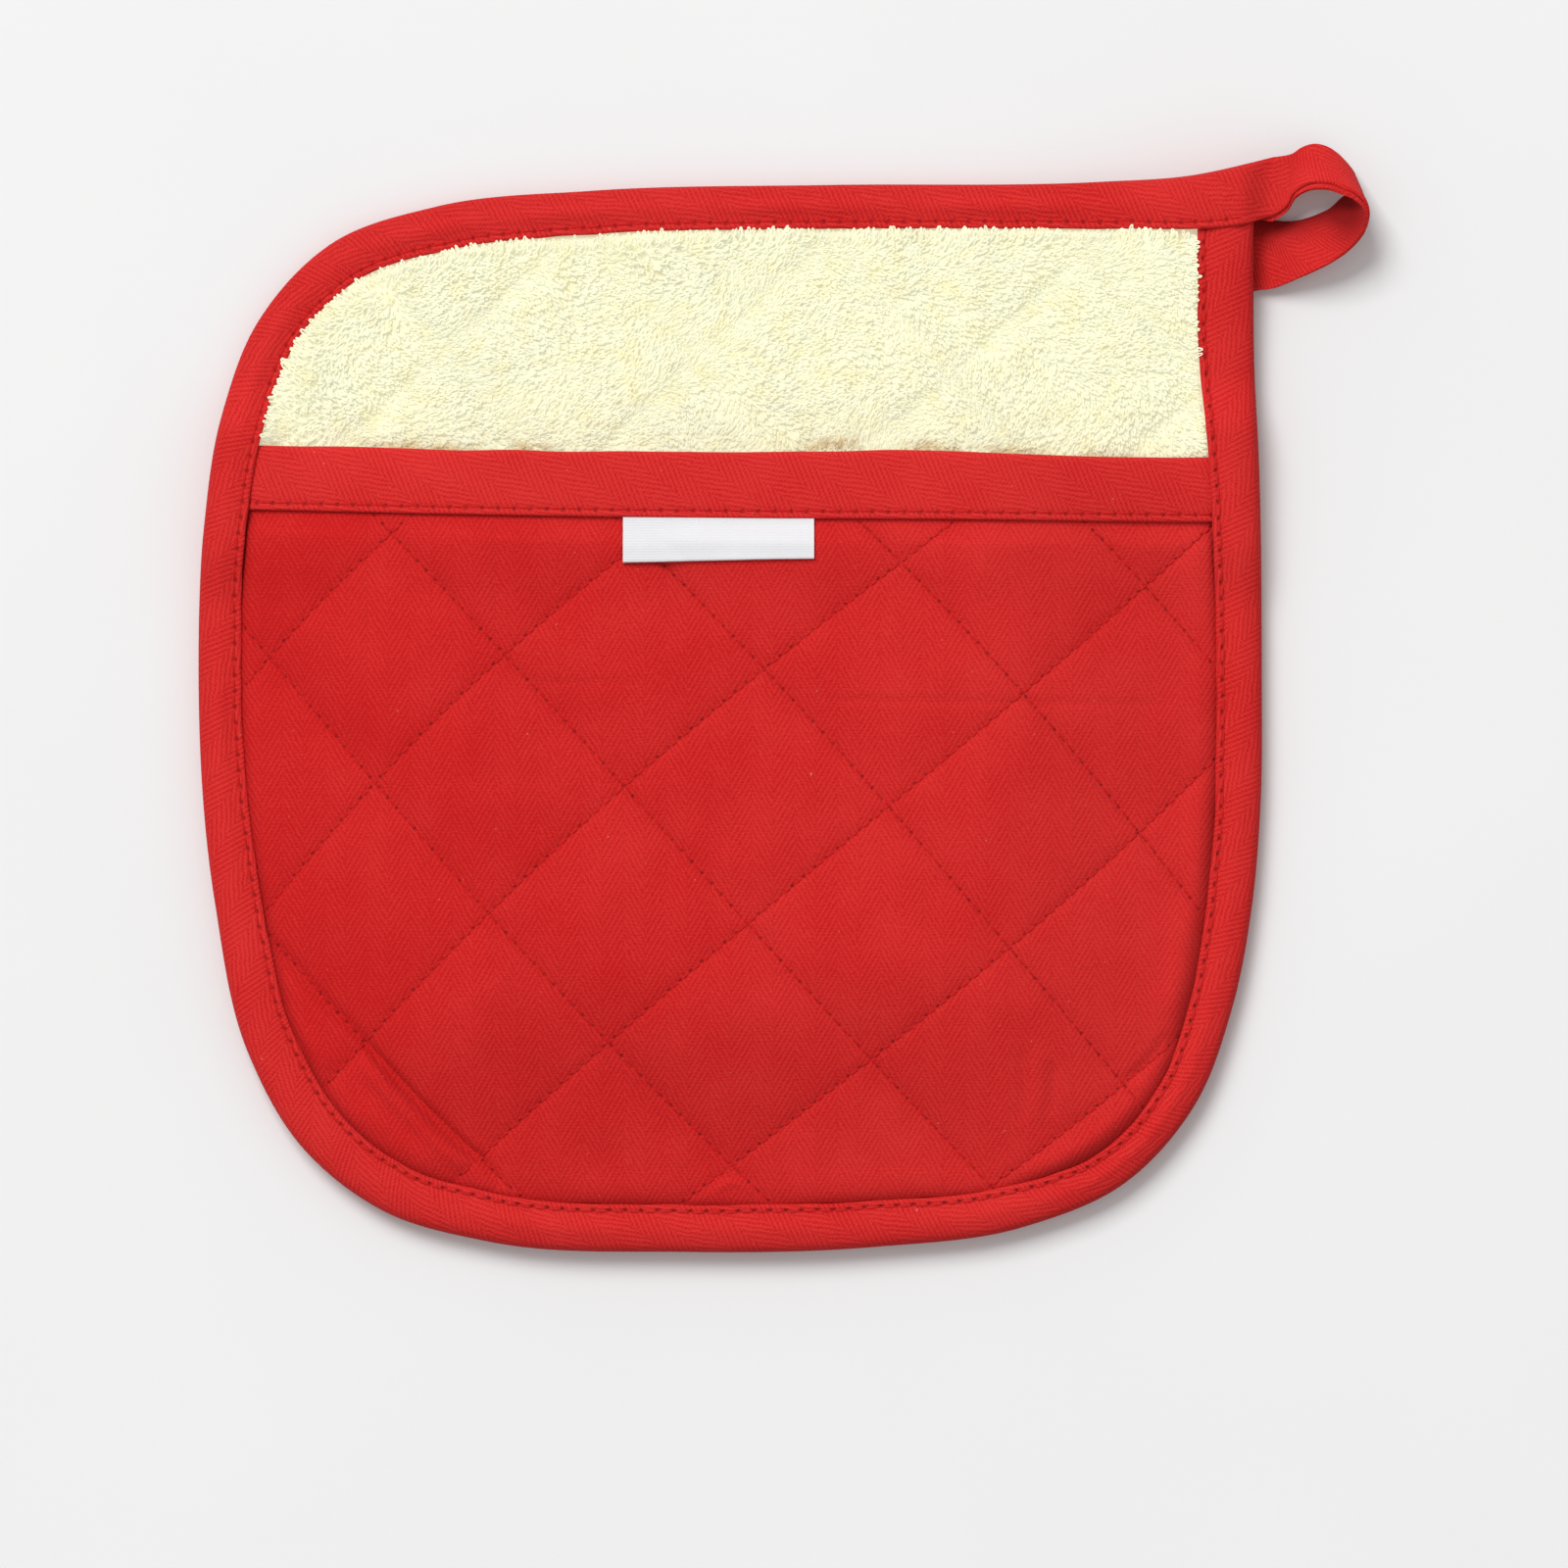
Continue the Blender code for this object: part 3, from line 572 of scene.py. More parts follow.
def new_piece(name, points, faces, finish, uv=None, **marks):
    """A closed mesh in the model's place, turned right side out, with its finish."""
    mesh = bpy.data.meshes.new(name)
    mesh.from_pydata(in_model(points).tolist(), [], faces)
    mesh.update()
    if uv is not None:
        corner = np.zeros(len(mesh.loops), int)
        mesh.loops.foreach_get("vertex_index", corner)
        layer = mesh.uv_layers.new(name="strip")
        layer.data.foreach_set("uv", uv[corner].astype(np.float32).ravel())
    store(mesh, **marks)
    if enclosed(mesh) < 0:
        mesh.flip_normals()
    mesh.shade_smooth()
    mesh.set_sharp_from_angle(angle=SHARP)
    mesh.materials.append(finish)
    volume = enclosed(mesh)
    print(f"{name}: {len(mesh.loop_triangles)} triangles, {volume * 1e6:.1f} cm3")
    return placed(name, mesh)


def enclosed(mesh):
    """Signed volume in cubic metres, below 0 for a mesh that is inside out."""
    mesh.calc_loop_triangles()
    corners = np.zeros(len(mesh.loop_triangles) * 3, int)
    mesh.loop_triangles.foreach_get("vertices", corners)
    places = np.zeros(len(mesh.vertices) * 3)
    mesh.vertices.foreach_get("co", places)
    a, b, c = places.reshape(-1, 3)[corners].reshape(-1, 3, 3).transpose(1, 0, 2)
    return float(np.sum(a * np.cross(b, c)) / 6)


# %% Panels
def inward_closed(ring):
    """Inward unit normals of a closed clockwise ring, mitred at its one sharp corner."""
    normals = []
    for step in (ring[:, :2] - np.roll(ring[:, :2], 1, axis=0),
                 np.roll(ring[:, :2], -1, axis=0) - ring[:, :2]):
        step = step / np.linalg.norm(step, axis=1)[:, None]
        normals.append(np.stack([step[:, 1], -step[:, 0]], axis=1))
    total = normals[0] + normals[1]
    return total * 2 / np.sum(total * total, axis=1)[:, None]


def inset_ring(inset, step):
    """A ring inside the outer edge, at a fixed distance from it."""
    ring = body_ring(step)
    inside = ring[:, :2] + inward_closed(ring) * inset
    away, _ = edge_distance(inside[:, 0], inside[:, 1])
    return inside[away > inset - 0.12]


def is_inside(points, ring):
    """Which points lie inside a closed ring."""
    inside = np.zeros(len(points), bool)
    x, y = points[:, 0], points[:, 1]
    for (ax, ay), (bx, by) in zip(ring, np.roll(ring, -1, axis=0)):
        if ay != by:
            crosses = ((ay > y) != (by > y)) & (x < ax + (y - ay) * (bx - ax) / (by - ay))
            inside ^= crosses
    return inside


def fill_points(outline, step):
    """A honeycomb of points inside an outline, `step` apart and a little clear of it."""
    low, high = outline.min(axis=0), outline.max(axis=0)
    rows = np.arange(low[1], high[1], step * math.sqrt(0.75))
    columns = np.arange(low[0], high[0], step)
    x, y = np.meshgrid(columns, rows)
    x = x + 0.5 * step * (np.arange(len(rows)) % 2)[:, None]
    points = np.column_stack([x.ravel(), y.ravel()])
    points = points[is_inside(points, outline)]
    away, _ = line_distance(points[:, 0], points[:, 1], np.vstack([outline, outline[:1]]))
    return points[away > 0.5 * step]


def sheet_side(outline, step):
    """Triangles over an outline: the points, the faces, and where each outline point went."""
    points = np.vstack([outline, fill_points(outline, step)])
    count = len(outline)
    found = delaunay_2d_cdt([Vector(p) for p in points], [], [list(range(count))], 1, 1e-4)
    flat = np.array([(p.x, p.y) for p in found[0]])
    place = np.zeros(count, int)
    for here, came_from in enumerate(found[3]):
        for k in came_from:
            if k < count:
                place[k] = here
    return flat, np.array(found[2]), place


def everywhere(x, y):
    return np.ones(len(x))


def panel(name, outline, over, under, fine, coarse, finish, **marks):
    """A closed sheet with a fine face and a coarser wrong side. Heights and marks are functions."""
    top, top_faces, top_rim = sheet_side(outline, fine)
    low, low_faces, low_rim = sheet_side(outline, coarse)
    points = np.vstack([np.column_stack([top, over(top[:, 0], top[:, 1])]),
                        np.column_stack([low, under(low[:, 0], low[:, 1])])])
    low_rim = low_rim + len(top)
    faces = top_faces.tolist() + (low_faces[:, ::-1] + len(top)).tolist()
    faces += np.column_stack([np.roll(top_rim, -1), top_rim, low_rim, np.roll(low_rim, -1)]).tolist()
    turn = np.sum(outline[:, 0] * np.roll(outline[:, 1], -1)
                  - outline[:, 1] * np.roll(outline[:, 0], -1))
    if turn < 0:
        faces[-len(outline):] = [face[::-1] for face in faces[-len(outline):]]
    stored = {label: mark(points[:, 0], points[:, 1]) for label, mark in marks.items()}
    return new_piece(name, points, faces, finish, **stored)


# %% Strips
UV_SCALE = 0.01                     # the strips' UV map counts in 100 mm
FRONT_PLACES = (0, 0.18, 0.55, 1, ROW_INSET, 2.1, 2.7)  # mm in from a strip's own edge
ROW_POINT = FRONT_PLACES.index(ROW_INSET)
UNDER_PLACES = (0, 0.25, 0.5, 0.68, 0.78, 0.88, 1)  # shares of the leg behind
UNDER_POINT = 4
TOP_STEPS, ROLL_STEPS = 7, 9        # points over the top leg and round the fold


def strip_section(top_leg, under_leg, low, high, wall, roll, full):
    """Cross section of a folded strip: insets from the fold, heights, and distances v over it.

    low and high are the outer heights, wall the cloth's thickness, roll how far the fold's
    rounding reaches, and full how far the top leg crowns. The weave follows v.
    """
    middle, half = 0.5 * (low + high), 0.5 * (high - low)
    outer = []
    for v in FRONT_PLACES:
        lip = -0.5 * wall * (v == 0) - 0.13 * wall * (v == 0.18)
        seam = -0.17 * bell(v - ROW_INSET, 0.5)
        outer.append((top_leg - v, high + lip + seam * (wall > 0.9)))
    first = top_leg - FRONT_PLACES[-1]
    for q in np.linspace(0, 1, TOP_STEPS + 1)[1:]:
        outer.append((first + (roll - first) * q, high + full * math.sin(math.pi * q) ** 0.8))
    for turn in np.radians(np.linspace(72, -72, ROLL_STEPS)):
        reach = roll * (1 - math.cos(turn) ** 0.75)
        outer.append((reach, middle + half * math.copysign(abs(math.sin(turn)) ** 0.75, turn)))
    for q in UNDER_PLACES:
        seam = 0.5 * bell(q - UNDER_PLACES[UNDER_POINT], 0.12)
        outer.append((roll + (under_leg - roll) * q, low + seam * (wall > 0.9)))
    inset, height = (np.array([row[k] + 0 * high for row in outer]) for k in (0, 1))
    steps = np.hypot(np.diff(inset, axis=0), np.diff(height, axis=0))
    v = np.vstack([np.zeros(len(high)), np.cumsum(steps, axis=0)])
    bottom, ceiling = low + wall, high - wall
    hollow = np.minimum(0.75 * roll, 2) + wall
    inner = [
        (under_leg, bottom, v[-1]),
        (0.5 * under_leg, bottom, v[-1] - 0.5 * under_leg),
        (hollow, bottom, v[-1] - under_leg),
        (hollow, ceiling, top_leg),
        (0.5 * top_leg, ceiling, 0.5 * top_leg),
        (top_leg, ceiling, v[0]),
    ]
    return [np.vstack([had] + [row[k] + 0 * high for row in inner]).T
            for k, had in enumerate((inset, height, v))]


def swept(name, sections, u, v, finish, **marks):
    """A closed mesh through cross sections with the same number of points, capped at its ends.

    u is the distance along it. A mark is one number, or has a row for each cross section.
    """
    stations, around = sections.shape[:2]
    here = np.arange(stations - 1)[:, None] * around
    i = np.arange(around)[None, :]
    j = (i + 1) % around
    quads = np.stack([here + i, here + j, here + around + j, here + around + i], axis=-1)
    faces = quads.reshape(-1, 4).tolist()
    faces.append(list(range(around))[::-1])
    faces.append(list(range((stations - 1) * around, stations * around)))
    uv = np.stack([np.repeat(u, around), v.ravel()], axis=1)
    stored = {label: np.broadcast_to(mark, (stations, around)).ravel()
              for label, mark in marks.items()}
    return new_piece(name, sections.reshape(-1, 3), faces, finish, uv * UV_SCALE, **stored)


# %% [markdown]
# ## Dyes and weaves
# The red cloth is a herringbone twill: fine slanted ridges in columns that turn back and forth.
# It could be painted on a picture, but a formula is sharper and never repeats badly. Sums on
# sockets are written as plain Python here: a small class wraps a socket, and each operator adds
# its Math node. The same classes build the Geometry Nodes trees further down.

# %% Sums on sockets
class Wire:
    """One output of a node. Arithmetic on it adds Math nodes to the same tree."""

    def __init__(self, nodes, socket):
        self.nodes, self.socket = nodes, socket

    def maths(self, operation, *others):
        return self.nodes.add("ShaderNodeMath", [self, *others], operation=operation)

    def __rsub__(self, other):
        return self * -1 + other

    def kept(self):
        """No less than 0 and no more than 1."""
        return self.nodes.add("ShaderNodeClamp", [self, 0, 1])


OPERATORS = {
    "__add__": "ADD", "__radd__": "ADD", "__sub__": "SUBTRACT", "__mul__": "MULTIPLY",
    "__rmul__": "MULTIPLY", "__truediv__": "DIVIDE", "__abs__": "ABSOLUTE",
    "over": "GREATER_THAN", "or_more": "MAXIMUM", "whole": "ROUND", "part": "FRACT",
    "sine": "SINE", "power_of_e": "EXPONENT",
}
for method, operation in OPERATORS.items():
    setattr(Wire, method, partialmethod(Wire.maths, operation))


# %% A tree of nodes under construction
class Nodes:
    """A node tree, with one method that adds any node."""

    def __init__(self, tree):
        self.tree = tree

    def add(self, kind, inputs=(), output=0, **settings):
        """One output of a new node. Inputs go in by their place, or by identifier in a dict."""
        node = self.tree.nodes.new(kind)
        for key, value in settings.items():
            setattr(node, key, value)
        if not isinstance(inputs, dict):
            inputs = dict(enumerate(inputs))
        sockets = {socket.identifier: socket for socket in node.inputs}
        for key, value in inputs.items():
            socket = sockets[key] if key in sockets else node.inputs[key]
            for one in value if isinstance(value, list) else [value]:
                self.feed(socket, one)
        return Wire(self, node.outputs[output])

    def feed(self, socket, value):
        """Links a wire to a socket or sets the socket's value. A colour gets its alpha here."""
        if isinstance(value, Wire):
            self.tree.links.new(value.socket, socket)
        else:
            socket.default_value = (*value, 1) if socket.type == "RGBA" else value


# %% A material under construction
class Dye(Nodes):
    """One material. Its place is x, y and z in millimetres from the middle of the body."""

    def __init__(self, name):
        self.material = bpy.data.materials.new(name)
        self.material.use_nodes = True
        super().__init__(self.material.node_tree)
        self.shader = self.tree.nodes["Principled BSDF"].inputs
        x, y, z = self.apart(self.add("ShaderNodeTexCoord", output="Object"), 3)
        self.place = x * 1000 - SHIFT_X, y * 1000 - SHIFT_Y, z * 1000

    def apart(self, where, count):
        """The first few numbers of a vector."""
        return [self.add("ShaderNodeSeparateXYZ", [where], output=k) for k in range(count)]

    def strip_place(self):
        """Distance along a strip and across it from its own edge, in millimetres."""
        u, v = self.apart(self.add("ShaderNodeUVMap", uv_map="strip"), 2)
        return u * (1 / UV_SCALE), v * (1 / UV_SCALE)

    def mark(self, name):
        """A number that is stored on the mesh, or 0 where none is."""
        return self.add("ShaderNodeAttribute", output="Fac", attribute_name=name)

    def noise(self, size, detail=2):
        """Even noise around 0.5, with patches about `size` mm across."""
        where = self.add("ShaderNodeCombineXYZ", [k / size for k in self.place])
        return self.add("ShaderNodeTexNoise", {"Vector": where, "Scale": 1, "Detail": detail})

    def mix(self, share, first, second):
        """A colour between two, by share."""
        return self.add("ShaderNodeMix", {0: share, 6: first, 7: second}, 2, data_type="RGBA")

    def finish(self, colour, roughness, height, specular, sheen=0):
        """Joins the colour, the roughness and the bump, whose height is in millimetres."""
        bump = self.add("ShaderNodeBump", {"Strength": 1, "Distance": MM, "Height": height})
        for name, value in (("Base Color", colour), ("Roughness", roughness), ("Normal", bump),
                            ("Sheen Weight", sheen), ("Sheen Roughness", 0.5),
                            ("Specular IOR Level", specular)):
            self.feed(self.shader[name], value)
        return self.material


# %% The twill and its needle holes
COLUMN = 4.35                       # width of a herringbone column
RIDGE = 0.97                        # distance between two ridges of the twill
SLANT = math.radians(60)
WEFT = 0.66                         # distance between two rows of yarn across the columns
CUT = math.radians(38)              # between the columns and the length of a bias strip


def herringbone(x, y):
    """1 on a ridge of the twill and 0 between two, in columns along y."""
    pair = (x / (2 * COLUMN)).part()
    turned = pair.over(0.5)
    zigzag = abs(pair * 2 - 1) * COLUMN
    ridge = (y * math.cos(SLANT) + zigzag * math.sin(SLANT)) / RIDGE + turned * 0.5
    ridge, rows = (ridge * math.tau).sine(), (y * (math.tau / WEFT)).sine()
    # Every other column gets a little more, so it is painted lighter: painted light for how the two
    # slants of ridge catch the lamp.
    return ridge * 0.42 + rows * 0.16 + 0.5 + (turned - 0.5) * 0.06


def woven(dye, x, y):
    """The twill with its yarns a little out of line."""
    uneven = (dye.noise(2.2) - 0.5) * 1.1
    return herringbone(x + uneven * 0.4, y + uneven)


def needle_hole(along, away, pitch, length, width):
    """1 in a hole and 0 outside it. along and away are distances along a row and from it."""
    step = along / pitch
    near = (step - step.whole()) * (pitch / length)
    return ((near * near + away * away * (1 / width ** 2)) * -1).power_of_e()


# %% Red cloth
RED_LOW, RED_HIGH = (0.490, 0.0075, 0.0082), (0.630, 0.0290, 0.0262)
# The needle holes are painted a dark red: painted shade where the thread pulls the cloth in.
HOLE_SHADE, LINT = (0.230, 0.0062, 0.0068), (0.74, 0.40, 0.32)
# Painted shade: a dark red for the pocket's gutter, the rolls that face away from the lamp, and the
# loop's eye and turn.
SHADE_RED = (0.210, 0.0045, 0.0055)      # where a gutter or a fold keeps the light out


def red_cloth(dye, weave, hole, tone, bold):
    """The dyed twill: light ridges, darker hollows, uneven dye, a little lint, painted shade in the
    needle holes, and painted shade wherever the mesh marks it.
    """
    yarn, patch, speck = dye.noise(0.34, 1), dye.noise(16, 3), dye.noise(0.8, 0).over(0.9)
    share = (weave - 0.5) * (0.6 * bold) + (yarn - 0.5) * 1.5 + (patch - 0.5) * 0.8
    colour = dye.mix((share + 0.5 + tone).kept(), RED_LOW, RED_HIGH)
    # Pale lint specks, then painted shade in the needle holes and where the mesh is marked for
    # shade.
    for amount, other in ((speck * 0.25, LINT), (hole * 0.85, HOLE_SHADE), (dye.mark("deep"), SHADE_RED)):
        colour = dye.mix(amount, colour, other)
    height = weave * 0.075 + yarn * 0.07 - hole * 0.28
    return dye.finish(colour, 0.86 - weave * 0.06, height, 0.1, sheen=0.02)


def panel_twill(name, lattice, tone):
    """Columns run straight up the panel, and holes follow the quilting lines."""
    dye = Dye(name)
    x, y, _ = dye.place
    a, b = quilt_place(x, y, lattice)
    rising, falling = (
        needle_hole(along * QUILT_PITCH, (across - across.whole()) * QUILT_PITCH,
                    QUILT_STITCH, 0.42, 0.26)
        for across, along in ((a, b), (b, a)))
    uneven = (dye.noise(5, 0) * 1.5 + 0.1).kept()
    holes = rising.or_more(falling) * uneven * dye.mark("sewn")
    # The tone rises with x, so the panels are painted lighter towards the right: painted light that
    # evens out the lamp at the left.
    return red_cloth(dye, woven(dye, x, y), holes, x * 0.0022 + tone, 0.8)


def strip_twill(name, tone):
    """The strips are cut across the weave, so the columns run slanting over them."""
    dye = Dye(name)
    u, v = dye.strip_place()
    across, along = (u * math.sin(CUT) + v * math.cos(CUT), v * math.sin(CUT) - u * math.cos(CUT))
    hole = needle_hole(u, v - ROW_INSET, STITCH, 0.52, 0.3) * dye.mark("sewn")
    return red_cloth(dye, woven(dye, across, along), hole.kept(), tone, 1.25)


# The strips are painted lighter than the panels: painted light, for the slopes of the strips that
# face the light.
pocket_twill = panel_twill("pocket_twill", POCKET_LATTICE, -0.08)
back_twill = panel_twill("back_twill", BACK_LATTICE, -0.05)
edge_twill = strip_twill("edge_twill", 0.08)
mouth_twill = strip_twill("mouth_twill", 0.18)
loop_twill = strip_twill("loop_twill", 0.10)
print("twill materials:", [m.name for m in bpy.data.materials])

# %% [markdown]
# ## The panels
# The back hides under everything, and is seen only when the pot holder is turned over. The
# pocket is the piece that everyone looks at, so it gets the finest mesh, with a point about
# every 0.7 mm, enough for each stitched hollow.

# %% The back
back = panel("back_panel_cloth", inset_ring(RIM_INSET, 1.6), back_over, back_under, 4, 1.5,
             back_twill, sewn=everywhere)

# %% The pocket
POCKET_FINE = 0.72
top_x = np.arange(-103, 103.4, 1)
pocket_top = np.column_stack([top_x, mouth_lines(top_x)[0] - MOUTH_WALL - 0.6])
pocket_ring = inset_ring(RIM_INSET, 1.2)
pocket_ring = pocket_ring[pocket_ring[:, 1] < mouth_lines(pocket_ring[:, 0])[0] - 3]
# The gutter between the pocket and its binding gets painted shade.
pocket = panel("pocket_cloth", np.vstack([pocket_top, pocket_ring]), pocket_over, pocket_under,
               POCKET_FINE, 2.6, pocket_twill, sewn=out_of_crease, deep=in_gutter)

# %% [markdown]
# ## The edge strip and the loop
# One strip of bias cloth is folded over the edge all the way round, from the top of the right
# side back to the same corner, where it laps over its own beginning and goes on as the loop.
# It is swept in one go, so that the weave runs on, and cut in two where it leaves the corner.

# %% Stations along the edge and round the loop
STATION = STITCH / 4                # four stations to a stitch, so that every fourth is a hole
LAP_FROM = 83                       # x where the strip's end begins to lap over its beginning


def in_plane_normals(points):
    """Unit normals of a clockwise path, in the plane and to the inside."""
    along = np.gradient(points[:, :2], axis=0)
    along /= np.linalg.norm(along, axis=1)[:, None]
    return np.stack([along[:, 1], -along[:, 0], np.zeros(len(along))], axis=1)


edge_rows = smooth_path(EDGE, STATION)
loop_rows = smooth_path(LOOP, STATION)[1:]
on_edge, on_loop = len(edge_rows), len(loop_rows)
print(f"{on_edge} stations on the edge and {on_loop} round the loop")

# %% Where the strip lies on the edge
edge_x, edge_y, edge_band = edge_rows.T
laps_over = (edge_y > 108) | ((edge_x < 60) & (edge_y > 90))
square = (laps_over * smooth((edge_x - LAP_FROM) / 14))[:, None]
edge_normals = between(in_plane_normals(edge_rows), np.array([0, -1, 0]), square)
edge_lift, edge_tuck = lift(edge_x, edge_y), tuck(edge_x, edge_y)
overlap = (BINDING_WALL + GAP) * smooth((edge_x - LAP_FROM) / 10) * laps_over
edge_low = edge_lift + np.where(laps_over, 0, edge_tuck)
edge_high = edge_lift + edge_tuck + held_top(edge_y) + overlap + GAP + BINDING_WALL

# %% Where it lies round the loop, and how the two meet
open_edge, fold_edge = loop_rows[:, :3], loop_rows[:, 3:]
loop_across = open_edge - fold_edge
loop_width = np.linalg.norm(loop_across, axis=1)
loop_across /= loop_width[:, None]
loop_face = np.cross(loop_across, np.gradient(0.5 * (open_edge + fold_edge), axis=0))
loop_face /= np.linalg.norm(loop_face, axis=1)[:, None]

pinch = smooth((edge_x - 103.5) / 7) * laps_over
edge_middle = between(0.5 * (edge_low + edge_high), open_edge[0, 2], pinch)
edge_half = between(0.5 * (edge_high - edge_low), 0.5 * LOOP_THICK, pinch)
joined = np.concatenate([pinch, np.ones(on_loop)])
print(f"the strip is {2 * edge_half.max():.1f} mm thick on the edge and {LOOP_THICK} mm on the loop")


# %% One sweep for both
def whole_strip():
    """Cross sections, distances along and across, and where it is sewn, for edge and loop."""
    band = np.concatenate([edge_band, loop_width])
    u = np.arange(len(band)) * STATION
    half = np.concatenate([edge_half, np.full(on_loop, 0.5 * LOOP_THICK)])
    full = between(0.45, 0.12, joined) * (1 + 0.5 * along_noise(u, 14, 11))
    inset, height, v = strip_section(
        band - joined, between(np.minimum(band, BACK_LEG), band, joined), -half, half,
        between(BINDING_WALL, 0.5 * LOOP_THICK - 0.06, joined), between(2.7, 1, joined), full)
    sewn = smooth((u[on_edge - 1] - 5.5 - u) / 4)
    hole = (np.arange(len(u)) % 4 == 0) * sewn
    height[:, ROW_POINT] -= (0.12 + 0.3 * hole) * sewn
    height[:, ROW_POINT - 1] += 0.05 * sewn * (1 - hole)
    wobble = 0.12 * along_noise(u, 9, 12) + 0.08 * along_noise(u, 3.4, 13)
    inset = inset + wobble[:, None] * (inset > 3)
    fold = np.concatenate([np.column_stack([edge_x, edge_y, edge_middle]), fold_edge])
    across = np.concatenate([edge_normals, loop_across])
    face = np.concatenate([np.tile((0, 0, 1), (on_edge, 1)), loop_face])
    sections = (fold[:, None, :] + across[:, None, :] * inset[:, :, None]
                + face[:, None, :] * height[:, :, None])
    return sections, u, v, sewn[:, None]


strip_sections, strip_u, strip_v, strip_sewn = whole_strip()
cut_at = on_edge - 1
edge_sections, loop_sections = strip_sections[:on_edge], strip_sections[cut_at:]

# %% The edge strip, with less light on the rolls that face away from the lamp
from_fold = np.linalg.norm(edge_sections[:, :, :2] - edge_rows[:, None, :2], axis=2)
away_from_lamp = np.maximum(-0.55 * edge_normals[:, 0] + 0.85 * edge_normals[:, 1], 0)
outer_roll = bell(from_fold, 2) * (0.12 + 0.38 * away_from_lamp)[:, None]
edge_strip = swept("edge_strip", edge_sections, strip_u[:on_edge], strip_v[:on_edge], edge_twill,
                   sewn=strip_sewn[:on_edge], deep=outer_roll)

# %% The loop, with painted shade in its eye and in its turn
turn_at = int(np.argmax(open_edge[:, 2]))
behind = smooth((np.arange(on_loop + 1) - turn_at + 8) / 16)[:, None]
from_eye = np.linalg.norm(loop_sections - np.vstack([fold_edge[:1], fold_edge])[:, None], axis=2)
loop_x, loop_y = loop_sections[:, :, 0], loop_sections[:, :, 1]
# Painted shade on the lower leg beside the eye, and inside the turn.
by_eye = bell(from_eye, 3.6) * smooth((loop_x - 104) / 5)
at_turn = bell(loop_x - 126, 4) * bell(loop_y - 102.5, 5.4)
loop_strip = swept("loop_strip", loop_sections, strip_u[cut_at:], strip_v[cut_at:], loop_twill,
                   sewn=strip_sewn[cut_at:], deep=behind * np.minimum(by_eye + at_turn, 0.92))

# %% [markdown]
# ## The mouth strip
# The pocket's upper edge has a strip of its own, folded over it and sewn down just above its
# lower edge. It rides on the pocket's crown, so its heights are the pocket's middle plus the
# cross section.

# %% The strip over the pocket's mouth
mouth_u = np.arange(-103.2, 103.5, STATION)
fold_y, seam_y = mouth_lines(mouth_u)
fold_y = fold_y + 0.18 * along_noise(mouth_u, 11, 21)
mouth_half = np.full(len(mouth_u), 0.5 * POCKET_RIM + GAP + MOUTH_WALL)
mouth_inset, mouth_height, mouth_v = strip_section(
    fold_y - seam_y, fold_y - seam_y - 1, -mouth_half, mouth_half, MOUTH_WALL, 1.5,
    0.2 + 0.12 * along_noise(mouth_u, 16, 22))
mouth_height[:, ROW_POINT] -= 0.1 + 0.25 * (np.arange(len(mouth_u)) % 4 == 0)
mouth_y = fold_y[:, None] - mouth_inset
mouth_x = np.repeat(mouth_u, mouth_y.shape[1]).reshape(mouth_y.shape)
mouth_z = pocket_middle(mouth_x.ravel(), mouth_y.ravel()).reshape(mouth_y.shape) + mouth_height
mouth_sections = np.stack([mouth_x, mouth_y, mouth_z], axis=-1)
mouth_strip = swept("mouth_strip", mouth_sections, np.arange(len(mouth_u)) * STATION, mouth_v,
                    mouth_twill, sewn=1)

# %% [markdown]
# ## The label
# A woven tab is caught under the mouth strip. It is stiffer than the twill, so it bridges the
# hollow of a stitched line. It is left plain white, with the fine ribs of satin ribbon.

# %% Satin
RIB, WARP = 0.32, 0.21              # from rib to rib and from yarn to yarn
satin = Dye("woven_label")
satin_x, satin_y, _ = satin.place
rib = (satin_y * (math.tau / RIB)).sine() * 0.5 + 0.5
warp = (satin_x * (math.tau / WARP)).sine() * 0.5 + 0.5
satin_share = (rib * 0.5 + warp * 0.2 + satin.noise(5) * 0.3).kept()
label_satin = satin.finish(satin.mix(satin_share, (0.66, 0.66, 0.69), (0.80, 0.80, 0.81)),
                           0.5 - rib * 0.08, rib * 0.04 + warp * 0.02, 0.3)

# %% The folded tab
LABEL_THICK = 0.75
LABEL_EDGE = 0.035                  # share of the label's height in which its fold rounds off
label_x, label_upper, label_lower = smooth_path(LABEL, 0.6).T


def label_seat(x, y):
    """The label bridges the hollows of the pocket, and its free edge stands off a little."""
    bridge = pocket_middle(x, y) + 0.5 * POCKET_RIM + 0.5 * PUFF * smooth((39.8 - y) / 6)
    curl = 0.25 * smooth((33.5 - y) / 2.5) + 0.12 * soft_noise(x, y, 9, 31)
    return np.maximum(pocket_over(x, y), bridge) + 0.12 + curl


shares = np.concatenate([[0, 0.006, 0.03], np.linspace(0.08, 0.92, 12), [0.965, 0.99, 1]])
label_points = np.zeros((len(label_x), 2 * len(shares), 3))
for i, share in enumerate(shares):
    label_y = label_upper + (label_lower - label_upper) * share
    seat = label_seat(label_x, label_y) + 0.5 * LABEL_THICK
    half = 0.5 * LABEL_THICK * max(rounded((1 - share) / LABEL_EDGE), 0.08)
    for place, side in ((i, 1), (2 * len(shares) - 1 - i, -1)):
        label_points[:, place] = np.column_stack([label_x, label_y, seat + side * half])
label = swept("label_cloth", label_points, label_x, np.zeros(label_points.shape[:2]), label_satin)

# %% [markdown]
# ## Terry
# Terry is a ground cloth with thousands of yarn loops standing on it. Repeating one loop is what
# Geometry Nodes are for. The tree below scatters points over a patch, picks one of four loops
# for each, leans it, turns it at random, and makes the whole a mesh. The lean is stored on the
# patch, so that the pile can fan out over the binding at its edges.

